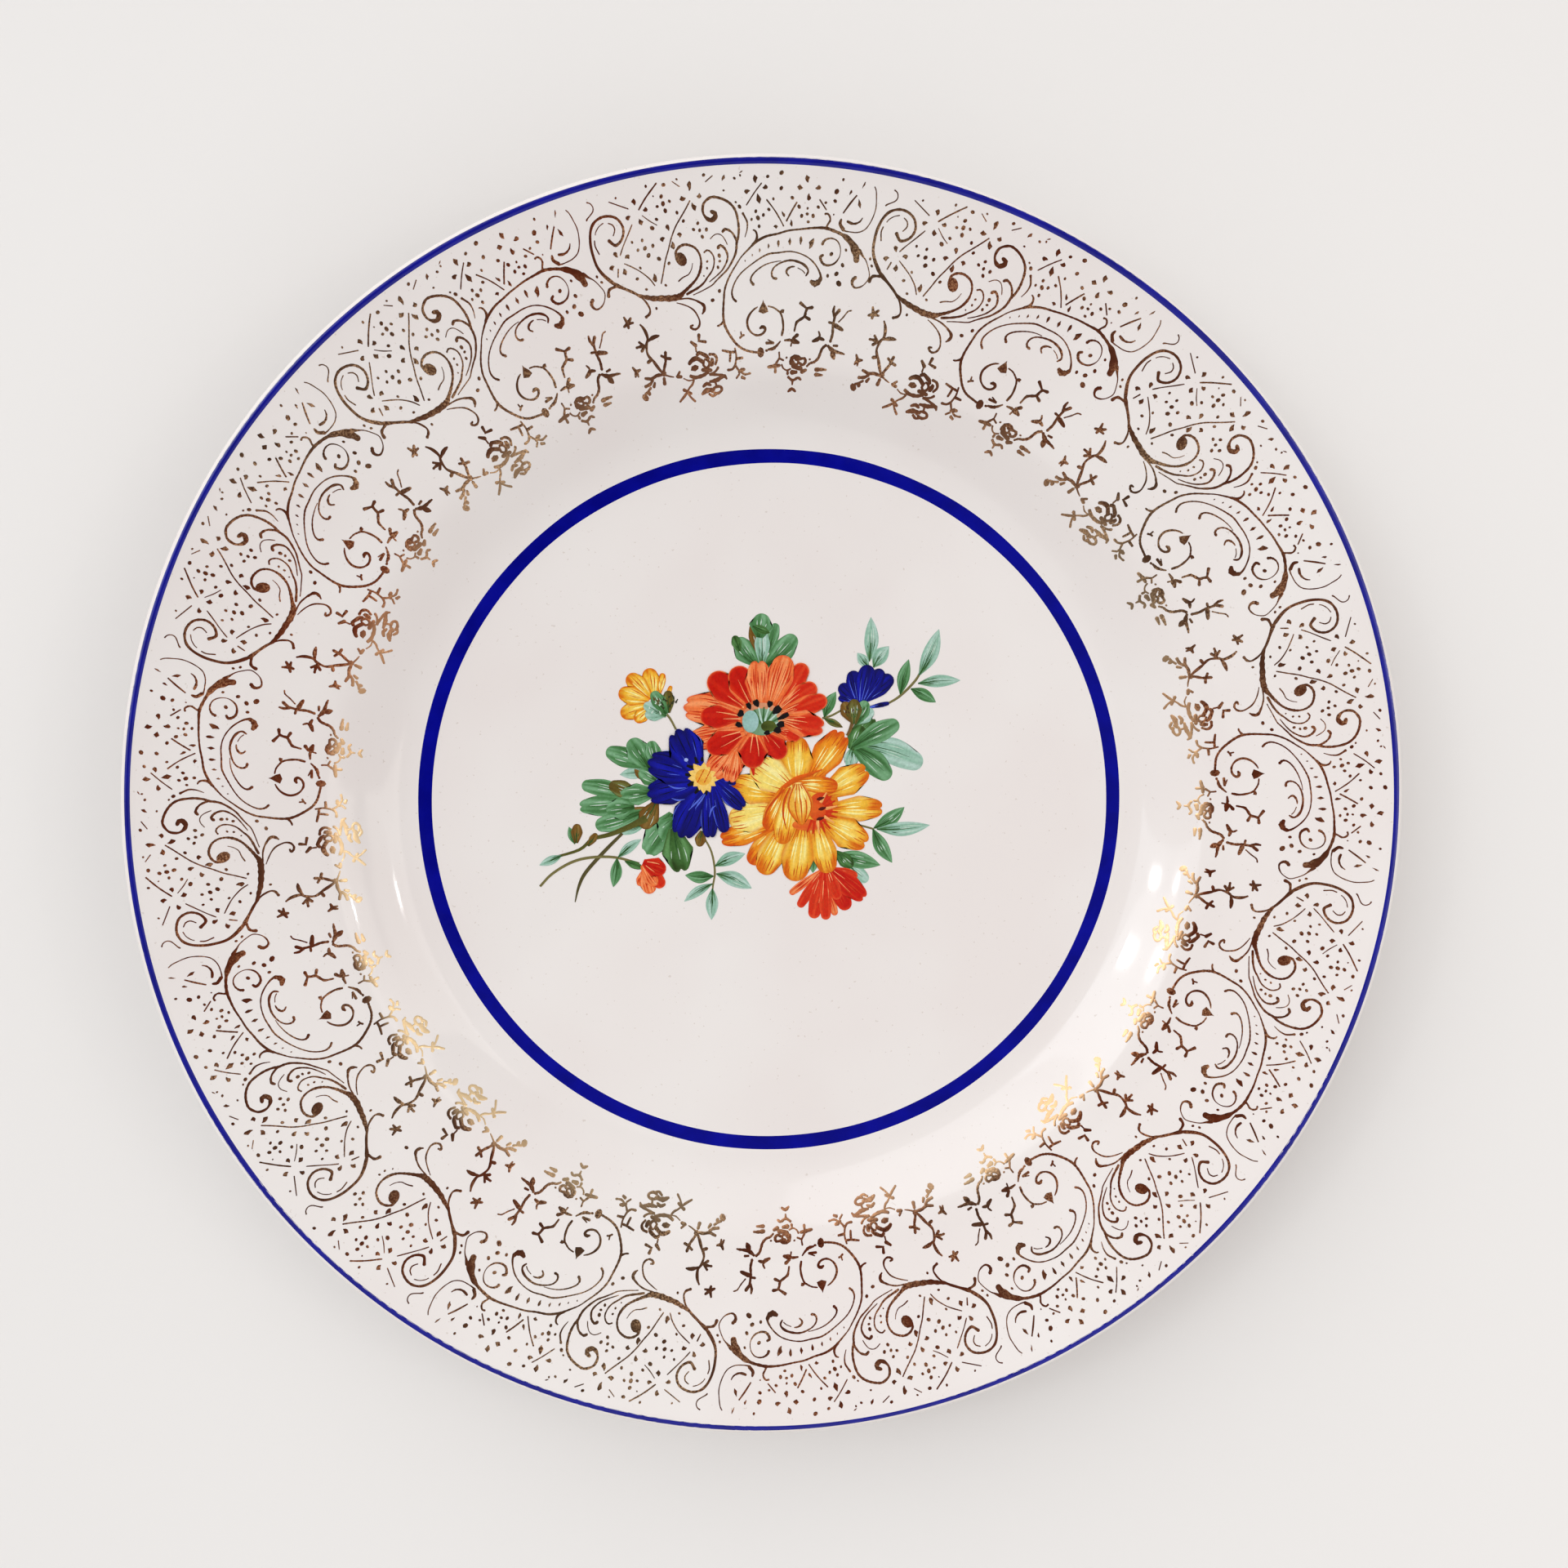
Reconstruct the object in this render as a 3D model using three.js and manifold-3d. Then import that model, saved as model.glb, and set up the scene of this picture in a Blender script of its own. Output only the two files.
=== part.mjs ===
// China dinner plate: a white porcelain body on a foot ring, a cobalt line round the lip, a cobalt
// ring in the well, a gilt scroll border laid on the rim as a run of repeats, and an enamelled bouquet
// on the well floor.
// Millimetres, +Z up. The origin is the centre of the foot ring's underside, and +Y is the bouquet's up.
import * as THREE from "three";
import { mergeVertices } from "three/addons/utils/BufferGeometryUtils.js";
import Module from "manifold-3d";

const wasm = await Module();
wasm.setup();

// Driving dimensions.
const PLATE_RADIUS = 127;
const LIP_TOP = 24.2;
const WELL_FLOOR = 7;
const WELL_FLAT_RADIUS = 70;
const WELL_THICKNESS = 4.2;
const FOOT_OUTER_RADIUS = 71.5;
const FOOT_INNER_RADIUS = 66;
const FOOT_TREAD_OUTER = 70.4;
const FOOT_TREAD_INNER = 67.4;
const BODY_SEGMENTS = 64;

// The decoration is fired on as thin layers. Each lies this far over what is under it, and is this thick.
const LAYER_GAP = 0.1;
const LAYER_THICKNESS = 0.12;
const ENAMEL_STEP = 0.15;
const ENAMEL_THICKNESS = 0.1;

const RIM_LINE = { inner: 125.1, outer: 126.3 };
const WELL_RING = { inner: 70.4, outer: 73.2 };

// The border: eight repeats from the first start angle, the last of them cut at the join, then five
// more, closed up a little. Angles are clockwise degrees from +Y, and a motif's own angles are degrees
// at its full pitch.
const FIRST_START = 18.5;
const FULL_PITCH = 29.5;
const FULL_REPEATS = 8;
const SECOND_START = 237.3;
const CLOSED_PITCH = 28.2;
const CLOSED_REPEATS = 5;
const MOTIF_RADIUS = 105;

// How many straight pieces each stroke is drawn with, and how many sides each round shape has.
const STEPS = { sweep: 27, tail: 3, feather: 13, crest: 16, hook: 2, stem: 5, bud: 2 };
const DISC_SIDES = 14;
const BALL_SIDES = 8;
const BEAD_SIDES = 6;
const CENTRE_SIDES = 12;
const RED_CENTRE_SIDES = 16;
const BUD_SIDES = 10;
const MM_PER_DEGREE = (MOTIF_RADIUS * Math.PI) / 180;

// The plate's upper surface, as radius and height, from the centre to the lip.
const TOP_PROFILE = [
  [WELL_FLAT_RADIUS, WELL_FLOOR],
  [74, 7.3],
  [78, 8.5],
  [82, 10.9],
  [86, 13.6],
  [89, 15.2],
  [93, 16.3],
  [100, 17.9],
  [110, 20.2],
  [118, 22.1],
  [124, 23.6],
];
const LIP_PROFILE = [
  [125.6, LIP_TOP],
  [126.6, 24],
  [PLATE_RADIUS, 23.2],
  [126, 21.7],
];
const UNDER_PROFILE = [
  [112, 17.2],
  [98, 13.7],
  [91, 11.6],
  [84, 7.4],
  [78, 4.2],
  [74, 3.2],
];
const FOOT_PROFILE = [
  [FOOT_OUTER_RADIUS, 2.7],
  [FOOT_OUTER_RADIUS - 0.4, 0.6],
  [FOOT_TREAD_OUTER, 0],
  [FOOT_TREAD_INNER, 0],
  [FOOT_INNER_RADIUS + 0.6, 0.6],
  [FOOT_INNER_RADIUS, 2.4],
  [64.5, WELL_FLOOR - WELL_THICKNESS],
];

function surface(color, roughness, metalness) {
  return new THREE.MeshStandardMaterial({ color, roughness, metalness });
}

const PORCELAIN = surface(0xe9e4df, 0.12, 0);
const COBALT = surface(0x16208c, 0.15, 0);
const GILT = surface(0x8a5a34, 0.3, 1);
const RED = surface(0xc8321a, 0.35, 0);
const BLUE = surface(0x0b1596, 0.35, 0);
const YELLOW = surface(0xe2a52c, 0.35, 0);
const CENTRE_GREEN = surface(0x6f9a7d, 0.35, 0);
const LEAF = surface(0x4f8f62, 0.35, 0);
const PALE_LEAF = surface(0x8fbfae, 0.35, 0);
const STEM = surface(0x6f6a4a, 0.35, 0);

const plate = new THREE.Group();

function addPiece(name, geometry, material) {
  const mesh = new THREE.Mesh(geometry, material);
  mesh.name = name;
  plate.add(mesh);
  return mesh;
}

// The whole upper surface, from the centre to the crown of the lip, and its height at a radius.
const UPPER_SURFACE = [[0, WELL_FLOOR], ...TOP_PROFILE, ...LIP_PROFILE.slice(0, 2)];

function topHeight(radius) {
  const outer = UPPER_SURFACE.findIndex(([r]) => r >= radius);
  if (outer === 0) return WELL_FLOOR;
  const [r0, z0] = UPPER_SURFACE[outer - 1];
  const [r1, z1] = UPPER_SURFACE[outer];
  return z0 + ((z1 - z0) * (radius - r0)) / (r1 - r0);
}

// A lathe turns its profile about Y, so it is stood up to turn about Z.
function turned(profile) {
  const points = profile.map(([radius, height]) => new THREE.Vector2(radius, height));
  return new THREE.LatheGeometry(points, BODY_SEGMENTS).rotateX(Math.PI / 2);
}

function plateBody() {
  const outline = [
    [0, WELL_FLOOR - WELL_THICKNESS],
    ...[...FOOT_PROFILE].reverse(),
    ...[...UNDER_PROFILE].reverse(),
    ...[...LIP_PROFILE].reverse(),
    ...[...TOP_PROFILE].reverse(),
    [0, WELL_FLOOR],
  ];
  return turned(outline);
}

// A ring of cobalt between two radii, following the upper surface under it.
function surfaceRing({ inner, outer }) {
  const bends = UPPER_SURFACE.map(([radius]) => radius).filter((radius) => radius > inner && radius < outer);
  const radii = [inner, ...bends, outer];
  const low = radii.map((radius) => [radius, topHeight(radius) + LAYER_GAP]);
  const high = low.map(([radius, height]) => [radius, height + LAYER_THICKNESS]).reverse();
  return turned([...low, ...high, low[0]]);
}

function solidFrom(geometry) {
  const bare = new THREE.BufferGeometry();
  bare.setAttribute("position", geometry.getAttribute("position"));
  if (geometry.index) bare.setIndex(geometry.index);
  const merged = mergeVertices(bare, 1e-4);
  return new wasm.Manifold(
    new wasm.Mesh({
      numProp: 3,
      vertProperties: merged.attributes.position.array,
      triVerts: new Uint32Array(merged.index.array),
    }),
  );
}

function geometryFrom(solid) {
  const { vertProperties, triVerts } = solid.getMesh();
  const geometry = new THREE.BufferGeometry();
  geometry.setAttribute("position", new THREE.BufferAttribute(vertProperties, 3));
  geometry.setIndex(new THREE.BufferAttribute(triVerts, 1));
  return geometry;
}

// Flat shapes pushed to one thickness and joined into one body.
function joinedLayer(shapes, thickness) {
  const settings = { depth: thickness, bevelEnabled: false, curveSegments: 6 };
  const solids = shapes.map((shape) => solidFrom(new THREE.ExtrudeGeometry(shape, settings)));
  return geometryFrom(solids.reduce((whole, solid) => whole.add(solid)));
}

// A brush stroke: points are [x, y, width], and the stroke runs smoothly through them.
function stroke(points, steps) {
  const path = new THREE.SplineCurve(points.map(([x, y]) => new THREE.Vector2(x, y)));
  const left = [];
  const right = [];
  for (let i = 0; i <= steps; i += 1) {
    const along = i / steps;
    const place = path.getPoint(along);
    const direction = path.getTangent(along);
    const at = along * (points.length - 1);
    const before = Math.min(Math.floor(at), points.length - 2);
    const width = THREE.MathUtils.lerp(points[before][2], points[before + 1][2], at - before);
    const side = new THREE.Vector2(-direction.y, direction.x).multiplyScalar(width / 2);
    left.push(place.clone().add(side));
    right.unshift(place.clone().sub(side));
  }
  return new THREE.Shape([...right, ...left]);
}

// A petal or leaf from its base to its tip. Fullness under 1 is round-ended, and over 1 is pointed.
function petal([baseX, baseY, tipX, tipY, width], fullness, sides = 5) {
  const base = new THREE.Vector2(baseX, baseY);
  const axis = new THREE.Vector2(tipX, tipY).sub(base);
  const across = new THREE.Vector2(-axis.y, axis.x).normalize();
  const edge = (side) => (along) =>
    base
      .clone()
      .addScaledVector(axis, along)
      .addScaledVector(across, (side * width * Math.sin(Math.PI * along) ** fullness) / 2);
  const steps = Array.from({ length: sides - 1 }, (_, i) => (1 - Math.cos((Math.PI * (i + 1)) / sides)) / 2);
  const outward = steps.map(edge(-1));
  const back = [...steps].reverse().map(edge(1));
  return new THREE.Shape([edge(0)(0), ...outward, edge(0)(1), ...back]);
}

function disc([x, y, radius], sides = DISC_SIDES) {
  const turn = (i) => (2 * Math.PI * i) / sides;
  const corners = Array.from({ length: sides }, (_, i) => i);
  return new THREE.Shape(
    corners.map((i) => new THREE.Vector2(x + radius * Math.cos(turn(i)), y + radius * Math.sin(turn(i)))),
  );
}

// The gilt border. Motif points are [degrees, radius, width], with the width in millimetres.
const SCROLL_SWEEP = [
  [-7.2, 115.2, 0.7],
  [-6.7, 114.2, 0.6],
  [-5.9, 115.0, 0.5],
  [-5.6, 117.0, 0.5],
  [-6.3, 119.2, 0.5],
  [-7.4, 119.6, 0.5],
  [-8.4, 118.6, 0.5],
  [-9.0, 116.0, 0.5],
  [-9.2, 113.0, 0.5],
  [-8.9, 110.2, 0.6],
  [-7.9, 107.5, 0.8],
  [-6.2, 105.1, 0.5],
  [-4.4, 103.4, 0.7],
  [-2.6, 102.7, 1.1],
  [-1.0, 102.9, 1.0],
  [0.4, 104.4, 0.5],
  [1.4, 106.3, 0.5],
  [1.75, 108.6, 0.5],
  [1.3, 110.9, 0.4],
  [0.3, 111.7, 0.5],
  [-0.6, 111.1, 0.5],
  [-0.85, 109.8, 0.8],
];
const SCROLL_BALL = [-0.3, 109.2, 1.05];
const SCROLL_TAIL = [
  [-1.6, 102.4, 0.5],
  [-0.2, 102.0, 0.5],
  [0.9, 101.1, 0.5],
  [1.4, 100.0, 0.9],
  [1.1, 98.9, 0.3],
];
const SCROLL_FEATHER = [
  [-0.6, 102.8, 0.6],
  [1.6, 103.2, 0.3],
  [3.4, 104.8, 0.3],
  [4.8, 107.0, 0.4],
  [5.6, 110.3, 0.5],
  [6.0, 113.6, 0.5],
  [5.7, 117.2, 0.5],
  [4.6, 119.2, 0.5],
  [3.4, 119.5, 0.5],
  [2.6, 118.0, 0.5],
  [2.8, 116.0, 0.7],
  [3.5, 115.9, 1.2],
  [3.5, 116.9, 0.9],
];
const CREST_SWEEP = [
  [7.7, 91.0, 0.4],
  [5.6, 91.8, 0.5],
  [4.4, 93.8, 0.5],
  [3.6, 96.7, 0.6],
  [3.6, 99.5, 0.5],
  [4.0, 102.8, 0.4],
  [4.9, 105.8, 0.35],
  [6.1, 108.6, 0.3],
  [7.5, 110.9, 0.5],
  [9.0, 112.3, 0.5],
  [11.0, 113.2, 0.4],
  [13.0, 113.8, 0.4],
  [15.0, 114.1, 0.6],
  [16.4, 113.5, 0.7],
  [17.3, 112.6, 1.1],
  [18.2, 111.0, 1.6],
  [18.5, 109.3, 1.2],
];
const CREST_BEAD = [7.95, 91.0, 0.85];
const CREST_HOOK = [
  [14.8, 114.0, 0.6],
  [15.2, 115.0, 0.4],
  [15.25, 116.2, 0.4],
  [14.8, 116.7, 0.4],
];

function flat([degrees, radius, width]) {
  return [degrees * MM_PER_DEGREE, radius, width];
}

// Lays a flat motif on the rim, from its start angle, closed up to its own pitch.
function laidOnRim(geometry, start, pitch) {
  const position = geometry.getAttribute("position");
  for (let i = 0; i < position.count; i += 1) {
    const degrees = start + (position.getX(i) / MM_PER_DEGREE) * (pitch / FULL_PITCH);
    const angle = THREE.MathUtils.degToRad(degrees);
    const radius = position.getY(i);
    const height = topHeight(radius) + LAYER_GAP + position.getZ(i);
    position.setXYZ(i, radius * Math.sin(angle), radius * Math.cos(angle), height);
  }
  return geometry;
}

function giltScroll(whole) {
  const shapes = [
    stroke(SCROLL_SWEEP.map(flat), STEPS.sweep),
    disc(flat(SCROLL_BALL), BALL_SIDES),
    stroke(SCROLL_TAIL.map(flat), STEPS.tail),
  ];
  if (whole) shapes.push(stroke(SCROLL_FEATHER.map(flat), STEPS.feather));
  return joinedLayer(shapes, LAYER_THICKNESS);
}

function giltCrest() {
  const shapes = [
    stroke(CREST_SWEEP.map(flat), STEPS.crest),
    disc(flat(CREST_BEAD), BEAD_SIDES),
    stroke(CREST_HOOK.map(flat), STEPS.hook),
  ];
  return joinedLayer(shapes, LAYER_THICKNESS);
}

// Each repeat is a scroll, and the crest that follows it. The repeat before the join is cut: it has
// neither a crest nor its scroll's feather.
function giltBorder() {
  const full = Array.from({ length: FULL_REPEATS }, (_, i) => [FIRST_START + i * FULL_PITCH, FULL_PITCH]);
  const closed = Array.from({ length: CLOSED_REPEATS }, (_, i) => [
    SECOND_START + i * CLOSED_PITCH,
    CLOSED_PITCH,
  ]);
  [...full, ...closed].forEach(([start, pitch], i) => {
    const number = String(i + 1).padStart(2, "0");
    const whole = i !== FULL_REPEATS - 1;
    addPiece(`gilt_scroll_${number}`, laidOnRim(giltScroll(whole), start, pitch), GILT);
    if (whole) addPiece(`gilt_crest_${number}`, laidOnRim(giltCrest(), start, pitch), GILT);
  });
}

// An enamel motif on the well floor. Layer 0 is painted first, and a higher layer lies over it.
function enamel(name, shapes, layer, material) {
  const mesh = addPiece(name, joinedLayer(shapes, ENAMEL_THICKNESS), material);
  mesh.position.z = WELL_FLOOR + LAYER_GAP + layer * ENAMEL_STEP;
}

const ROUND = 0.6;
const POINTED = 1.1;

function petals(list, fullness = ROUND) {
  return list.map((one) => petal(one, fullness));
}

// Petals and leaves are [base x, base y, tip x, tip y, width]. Stems are [x, y, width] points.
function redFlower() {
  const outer = [
    [-5.5, 20.5, -10.8, 28.8, 9.5],
    [-3.5, 20.5, -3.4, 30.0, 5],
    [-2.5, 20.5, 2.8, 31.0, 6],
    [-1.5, 19.5, 6.2, 29.3, 3.8],
    [-1.0, 19.0, 8.2, 25.0, 4],
    [-0.5, 18.2, 10.8, 22.2, 4.2],
    [-0.5, 17.8, 10.2, 15.4, 5.5],
    [-2.0, 16.0, 5.4, 14.2, 3.2],
    [-3.0, 16.0, 2.0, 9.6, 5],
    [-4.5, 16.0, -4.2, 7.8, 6.2],
    [-5.5, 16.0, -11.5, 6.4, 7.5],
    [-6.0, 16.8, -14.0, 10.8, 6.5],
    [-6.0, 17.2, -18.0, 13.8, 4.8],
    [-6.0, 18.8, -18.8, 20.6, 8],
  ];
  enamel("red_flower", [...petals(outer), disc([-3.2, 17.6, 4.2])], 3, RED);
  enamel("red_flower_centre", [disc([-3.0, 17.4, 3.3], RED_CENTRE_SIDES)], 4, CENTRE_GREEN);
}

function blueFlower() {
  const outer = [
    [-15.5, 6.5, -19.4, 15.9, 7.5],
    [-15.5, 6.5, -26.4, 10.3, 7],
    [-15.5, 5.5, -26.6, 2.6, 7],
    [-14.5, 5.0, -20.0, -7.2, 7.5],
    [-14.2, 5.0, -13.6, -7.2, 4.4],
    [-13.8, 5.0, -10.0, -6.2, 5],
    [-13.5, 5.2, -6.4, -1.2, 4.6],
    [-13.5, 5.8, -8.2, 4.5, 1.8],
  ];
  enamel("blue_flower", [...petals(outer), disc([-14.8, 5.6, 3])], 4, BLUE);
  enamel("blue_flower_centre", [disc([-14.5, 6.0, 2.7], CENTRE_SIDES)], 5, YELLOW);
}

function yellowFlower() {
  const outer = [
    [6.0, 0.5, 5.5, 14.4, 8],
    [5.0, 1.0, -4.0, 8.2, 8],
    [6.5, 1.0, 14.6, 15.2, 8],
    [8.0, 0.5, 19.6, 7.6, 7],
    [9.0, -0.8, 22.9, -0.3, 7],
    [8.0, -2.0, 19.4, -9.8, 8],
    [7.0, -2.5, 12.3, -14.5, 7],
    [6.0, -2.5, 3.6, -16.2, 8.5],
    [4.0, -2.5, -4.4, -14.6, 7.5],
    [3.0, -2.5, -11.4, -7.6, 6],
    [2.0, -1.0, -9.2, -3.4, 7],
    [2.0, 0.0, -9.0, 3.6, 6],
  ];
  enamel("yellow_flower", [...petals(outer), disc([6, -1, 6])], 2, YELLOW);
  enamel("yellow_flower_centre", [disc([10.4, 0.2, 2.4], CENTRE_SIDES)], 3, RED);
}

function buds() {
  const yellow = [
    [-24.5, 21.0, -26.0, 28.2, 4.4],
    [-24.5, 21.0, -30.4, 26.8, 4.4],
    [-24.5, 21.0, -32.2, 23.2, 4.2],
    [-24.5, 21.0, -31.9, 18.4, 4.2],
    [-24.0, 20.5, -28.8, 17.2, 3],
  ];
  enamel("yellow_bud", petals(yellow), 1, YELLOW);
  enamel("yellow_bud_calyx", [disc([-23.9, 20.8, 3.1])], 2, LEAF);
  const blue = [
    [17.2, 20.5, 15.8, 27.9, 4.2],
    [17.2, 20.5, 20.0, 29.0, 5],
    [17.2, 20.5, 24.0, 27.6, 4.2],
    [17.2, 20.5, 13.4, 24.4, 3.6],
    [17.2, 20.5, 24.2, 20.9, 1.6],
  ];
  enamel("blue_bud", petals(blue), 1, BLUE);
  enamel("blue_bud_calyx", [disc([16.9, 19.3, 2.8])], 2, STEM);
  const left = [
    [-28.5, -12.4, -22.6, -11.6, 3.4],
    [-28.5, -12.4, -22.4, -15.0, 4],
    [-28.5, -12.4, -25.0, -18.6, 4.2],
    [-28.5, -12.4, -28.4, -17.2, 2.2],
  ];
  enamel("left_red_bud", petals(left), 2, RED);
  const low = [
    [10.5, -13.5, 3.4, -18.9, 2.8],
    [10.5, -13.5, 5.4, -21.7, 2.8],
    [10.5, -13.5, 8.4, -23.8, 3],
    [10.5, -13.5, 11.0, -24.4, 3.2],
    [10.5, -13.5, 13.4, -23.4, 2.6],
    [10.5, -13.5, 16.2, -22.0, 5],
    [10.5, -13.5, 19.2, -20.0, 5.5],
    [10.5, -13.5, 17.0, -15.4, 3],
  ];
  enamel("lower_red_bud", petals(low), 1, RED);
}

function leafSpray(name, leaves, stems, material) {
  const shapes = [...petals(leaves, POINTED), ...stems.map((points) => stroke(points, points.length))];
  enamel(name, shapes, 0, material);
}

function foliage() {
  leafSpray(
    "top_leaves",
    [
      [-2.4, 29.0, 4.6, 35.2, 4.6],
      [-3.0, 29.0, -7.8, 35.0, 5],
      [-2.4, 29.0, -2.2, 39.8, 6],
    ],
    [[[-2.6, 28.5, 1.2], [-2.4, 32.0, 1]]],
    LEAF,
  );
  leafSpray(
    "upper_left_leaves",
    [
      [-26.0, 7.0, -34.8, 11.6, 4],
      [-26.0, 7.0, -29.6, 13.9, 4.6],
      [-26.0, 7.0, -25.6, 13.0, 3.4],
      [-26.0, 6.8, -31.8, 6.9, 2.2],
    ],
    [[[-24.0, 5.5, 1], [-27.0, 7.4, 1]]],
    LEAF,
  );
  leafSpray(
    "left_leaves",
    [
      [-28.5, 0.5, -40.2, 4.2, 4.2],
      [-28.5, 0.5, -40.4, -1.2, 4.4],
      [-28.0, 0.0, -37.2, -4.8, 4.4],
      [-26.5, 1.5, -34.2, 4.9, 4],
      [-25.5, 0.8, -27.6, -4.9, 4.6],
    ],
    [[[-24.5, 0.5, 1.2], [-29.5, 0.4, 1.2]]],
    LEAF,
  );
  leafSpray(
    "lower_left_leaves",
    [
      [-21.0, -3.0, -26.5, -10.6, 6.4],
      [-21.5, -5.0, -19.6, -14.2, 7],
    ],
    [[[-20.0, -2.0, 1], [-21.8, -6.5, 1]]],
    LEAF,
  );
  leafSpray(
    "lower_sprig",
    [
      [-12.6, -12.7, -5.8, -10.4, 3],
      [-12.3, -14.4, -4.8, -17.6, 3.6],
      [-12.2, -14.6, -18.4, -15.2, 3],
      [-12.6, -16.6, -18.7, -20.4, 2.4],
      [-12.7, -17.6, -13.0, -24.2, 3],
    ],
    [[[-15.0, -6.5, 0.8], [-12.9, -10.5, 0.7], [-12.4, -14.5, 0.7], [-12.8, -18.6, 0.7]]],
    PALE_LEAF,
  );
  leafSpray(
    "right_leaves",
    [
      [15.4, 13.0, 26.0, 17.0, 5],
      [15.4, 12.6, 31.4, 8.8, 6],
      [15.4, 12.2, 24.4, 5.6, 5.6],
      [15.4, 12.0, 15.0, 8.2, 2.8],
    ],
    [[[14.8, 12.6, 1.2], [17.5, 12.4, 1.2]]],
    LEAF,
  );
  leafSpray(
    "bud_top_leaves",
    [
      [19.8, 29.2, 20.2, 39.0, 3.6],
      [20.2, 29.0, 23.9, 33.2, 3.6],
      [19.8, 29.2, 17.2, 31.6, 2.4],
    ],
    [[[20.0, 28.2, 0.8], [19.9, 31.0, 0.8]]],
    PALE_LEAF,
  );
  leafSpray(
    "far_right_sprig",
    [
      [26.2, 22.6, 28.0, 30.4, 3],
      [29.8, 26.2, 34.4, 36.4, 3.8],
      [29.2, 26.0, 38.8, 26.0, 3],
      [27.6, 24.2, 33.8, 21.6, 3],
    ],
    [[[20.0, 20.0, 0.6], [26.0, 22.6, 0.7], [30.6, 27.4, 0.7]]],
    PALE_LEAF,
  );
  leafSpray(
    "bud_side_leaf",
    [[10.0, 17.6, 13.2, 23.6, 3]],
    [[[9.6, 17.6, 0.8], [11.0, 18.6, 0.9], [14.2, 19.6, 0.7]]],
    PALE_LEAF,
  );
  leafSpray(
    "right_lower_sprig",
    [
      [20.8, -5.2, 27.6, -0.6, 3.4],
      [20.8, -5.4, 32.8, -4.8, 3.4],
      [20.8, -5.2, 25.0, -12.2, 3.4],
    ],
    [[[17.0, -4.4, 0.8], [21.4, -5.4, 0.8]]],
    PALE_LEAF,
  );
  leafSpray(
    "lower_right_leaves",
    [
      [12.4, -11.0, 22.4, -13.2, 3.6],
      [12.4, -11.0, 20.2, -15.8, 3.4],
    ],
    [[[11.8, -11.0, 1], [14.5, -11.8, 1]]],
    LEAF,
  );
}

function leftStems() {
  const routes = [
    [
      [-24.0, -2.4, 0.9],
      [-32.0, -5.3, 0.8],
      [-38.0, -7.4, 0.7],
      [-41.0, -9.6, 0.6],
      [-48.5, -11.8, 0.4],
    ],
    [
      [-30.6, -5.0, 0.8],
      [-35.4, -9.8, 0.7],
      [-39.2, -14.2, 0.6],
      [-41.4, -20.6, 0.3],
    ],
    [
      [-27.6, -12.2, 0.7],
      [-33.0, -11.1, 0.7],
      [-38.0, -10.9, 0.7],
      [-42.0, -12.0, 0.6],
      [-48.8, -16.8, 0.4],
    ],
  ];
  const leaves = [
    [-33.0, -11.0, -33.8, -17.2, 2.8],
    [-32.6, -11.0, -27.6, -7.4, 2.6],
  ];
  const shapes = [
    ...routes.map((points) => stroke(points, STEPS.stem)),
    disc([-41.2, -6.8, 1.9], BUD_SIDES),
    stroke([[-40.9, -7.6, 0.8], [-40.6, -9.6, 0.7]], STEPS.bud),
    ...petals(leaves, POINTED),
  ];
  enamel("left_stems", shapes, 1, STEM);
}

addPiece("plate_body", plateBody(), PORCELAIN);
addPiece("rim_line", surfaceRing(RIM_LINE), COBALT);
addPiece("well_ring", surfaceRing(WELL_RING), COBALT);
giltBorder();
redFlower();
blueFlower();
yellowFlower();
buds();
foliage();
leftStems();

export default plate;
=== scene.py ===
"""A rimmed china dinner plate: glazed body, cobalt lines, gilt lace border and an enamelled bouquet.

The plate lies flat on a pale floor, +Y towards the top of the bouquet. Sizes are in millimetres, except those
of materials, floor and lamps, which are in metres.
Border points are (a, r): degrees clockwise from the start of a repeat, and millimetres from the centre.
Bouquet points are (x, y) on the floor of the well.
"""

import math
import random

import bpy
import numpy as np
from mathutils import Matrix, Vector


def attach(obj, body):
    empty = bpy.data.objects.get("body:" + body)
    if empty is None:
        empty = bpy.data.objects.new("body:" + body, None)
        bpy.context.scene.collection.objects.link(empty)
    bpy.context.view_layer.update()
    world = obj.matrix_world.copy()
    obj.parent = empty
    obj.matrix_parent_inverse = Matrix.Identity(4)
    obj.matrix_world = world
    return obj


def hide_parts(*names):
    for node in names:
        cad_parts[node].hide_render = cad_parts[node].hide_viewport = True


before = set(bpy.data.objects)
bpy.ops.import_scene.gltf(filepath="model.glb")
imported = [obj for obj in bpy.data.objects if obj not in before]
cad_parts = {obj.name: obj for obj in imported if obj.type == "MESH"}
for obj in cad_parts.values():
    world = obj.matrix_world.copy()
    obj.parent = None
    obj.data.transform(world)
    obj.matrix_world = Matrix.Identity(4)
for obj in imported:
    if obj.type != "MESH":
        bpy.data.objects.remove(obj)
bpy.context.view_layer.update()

MM = 0.001
BODY = "root"

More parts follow.
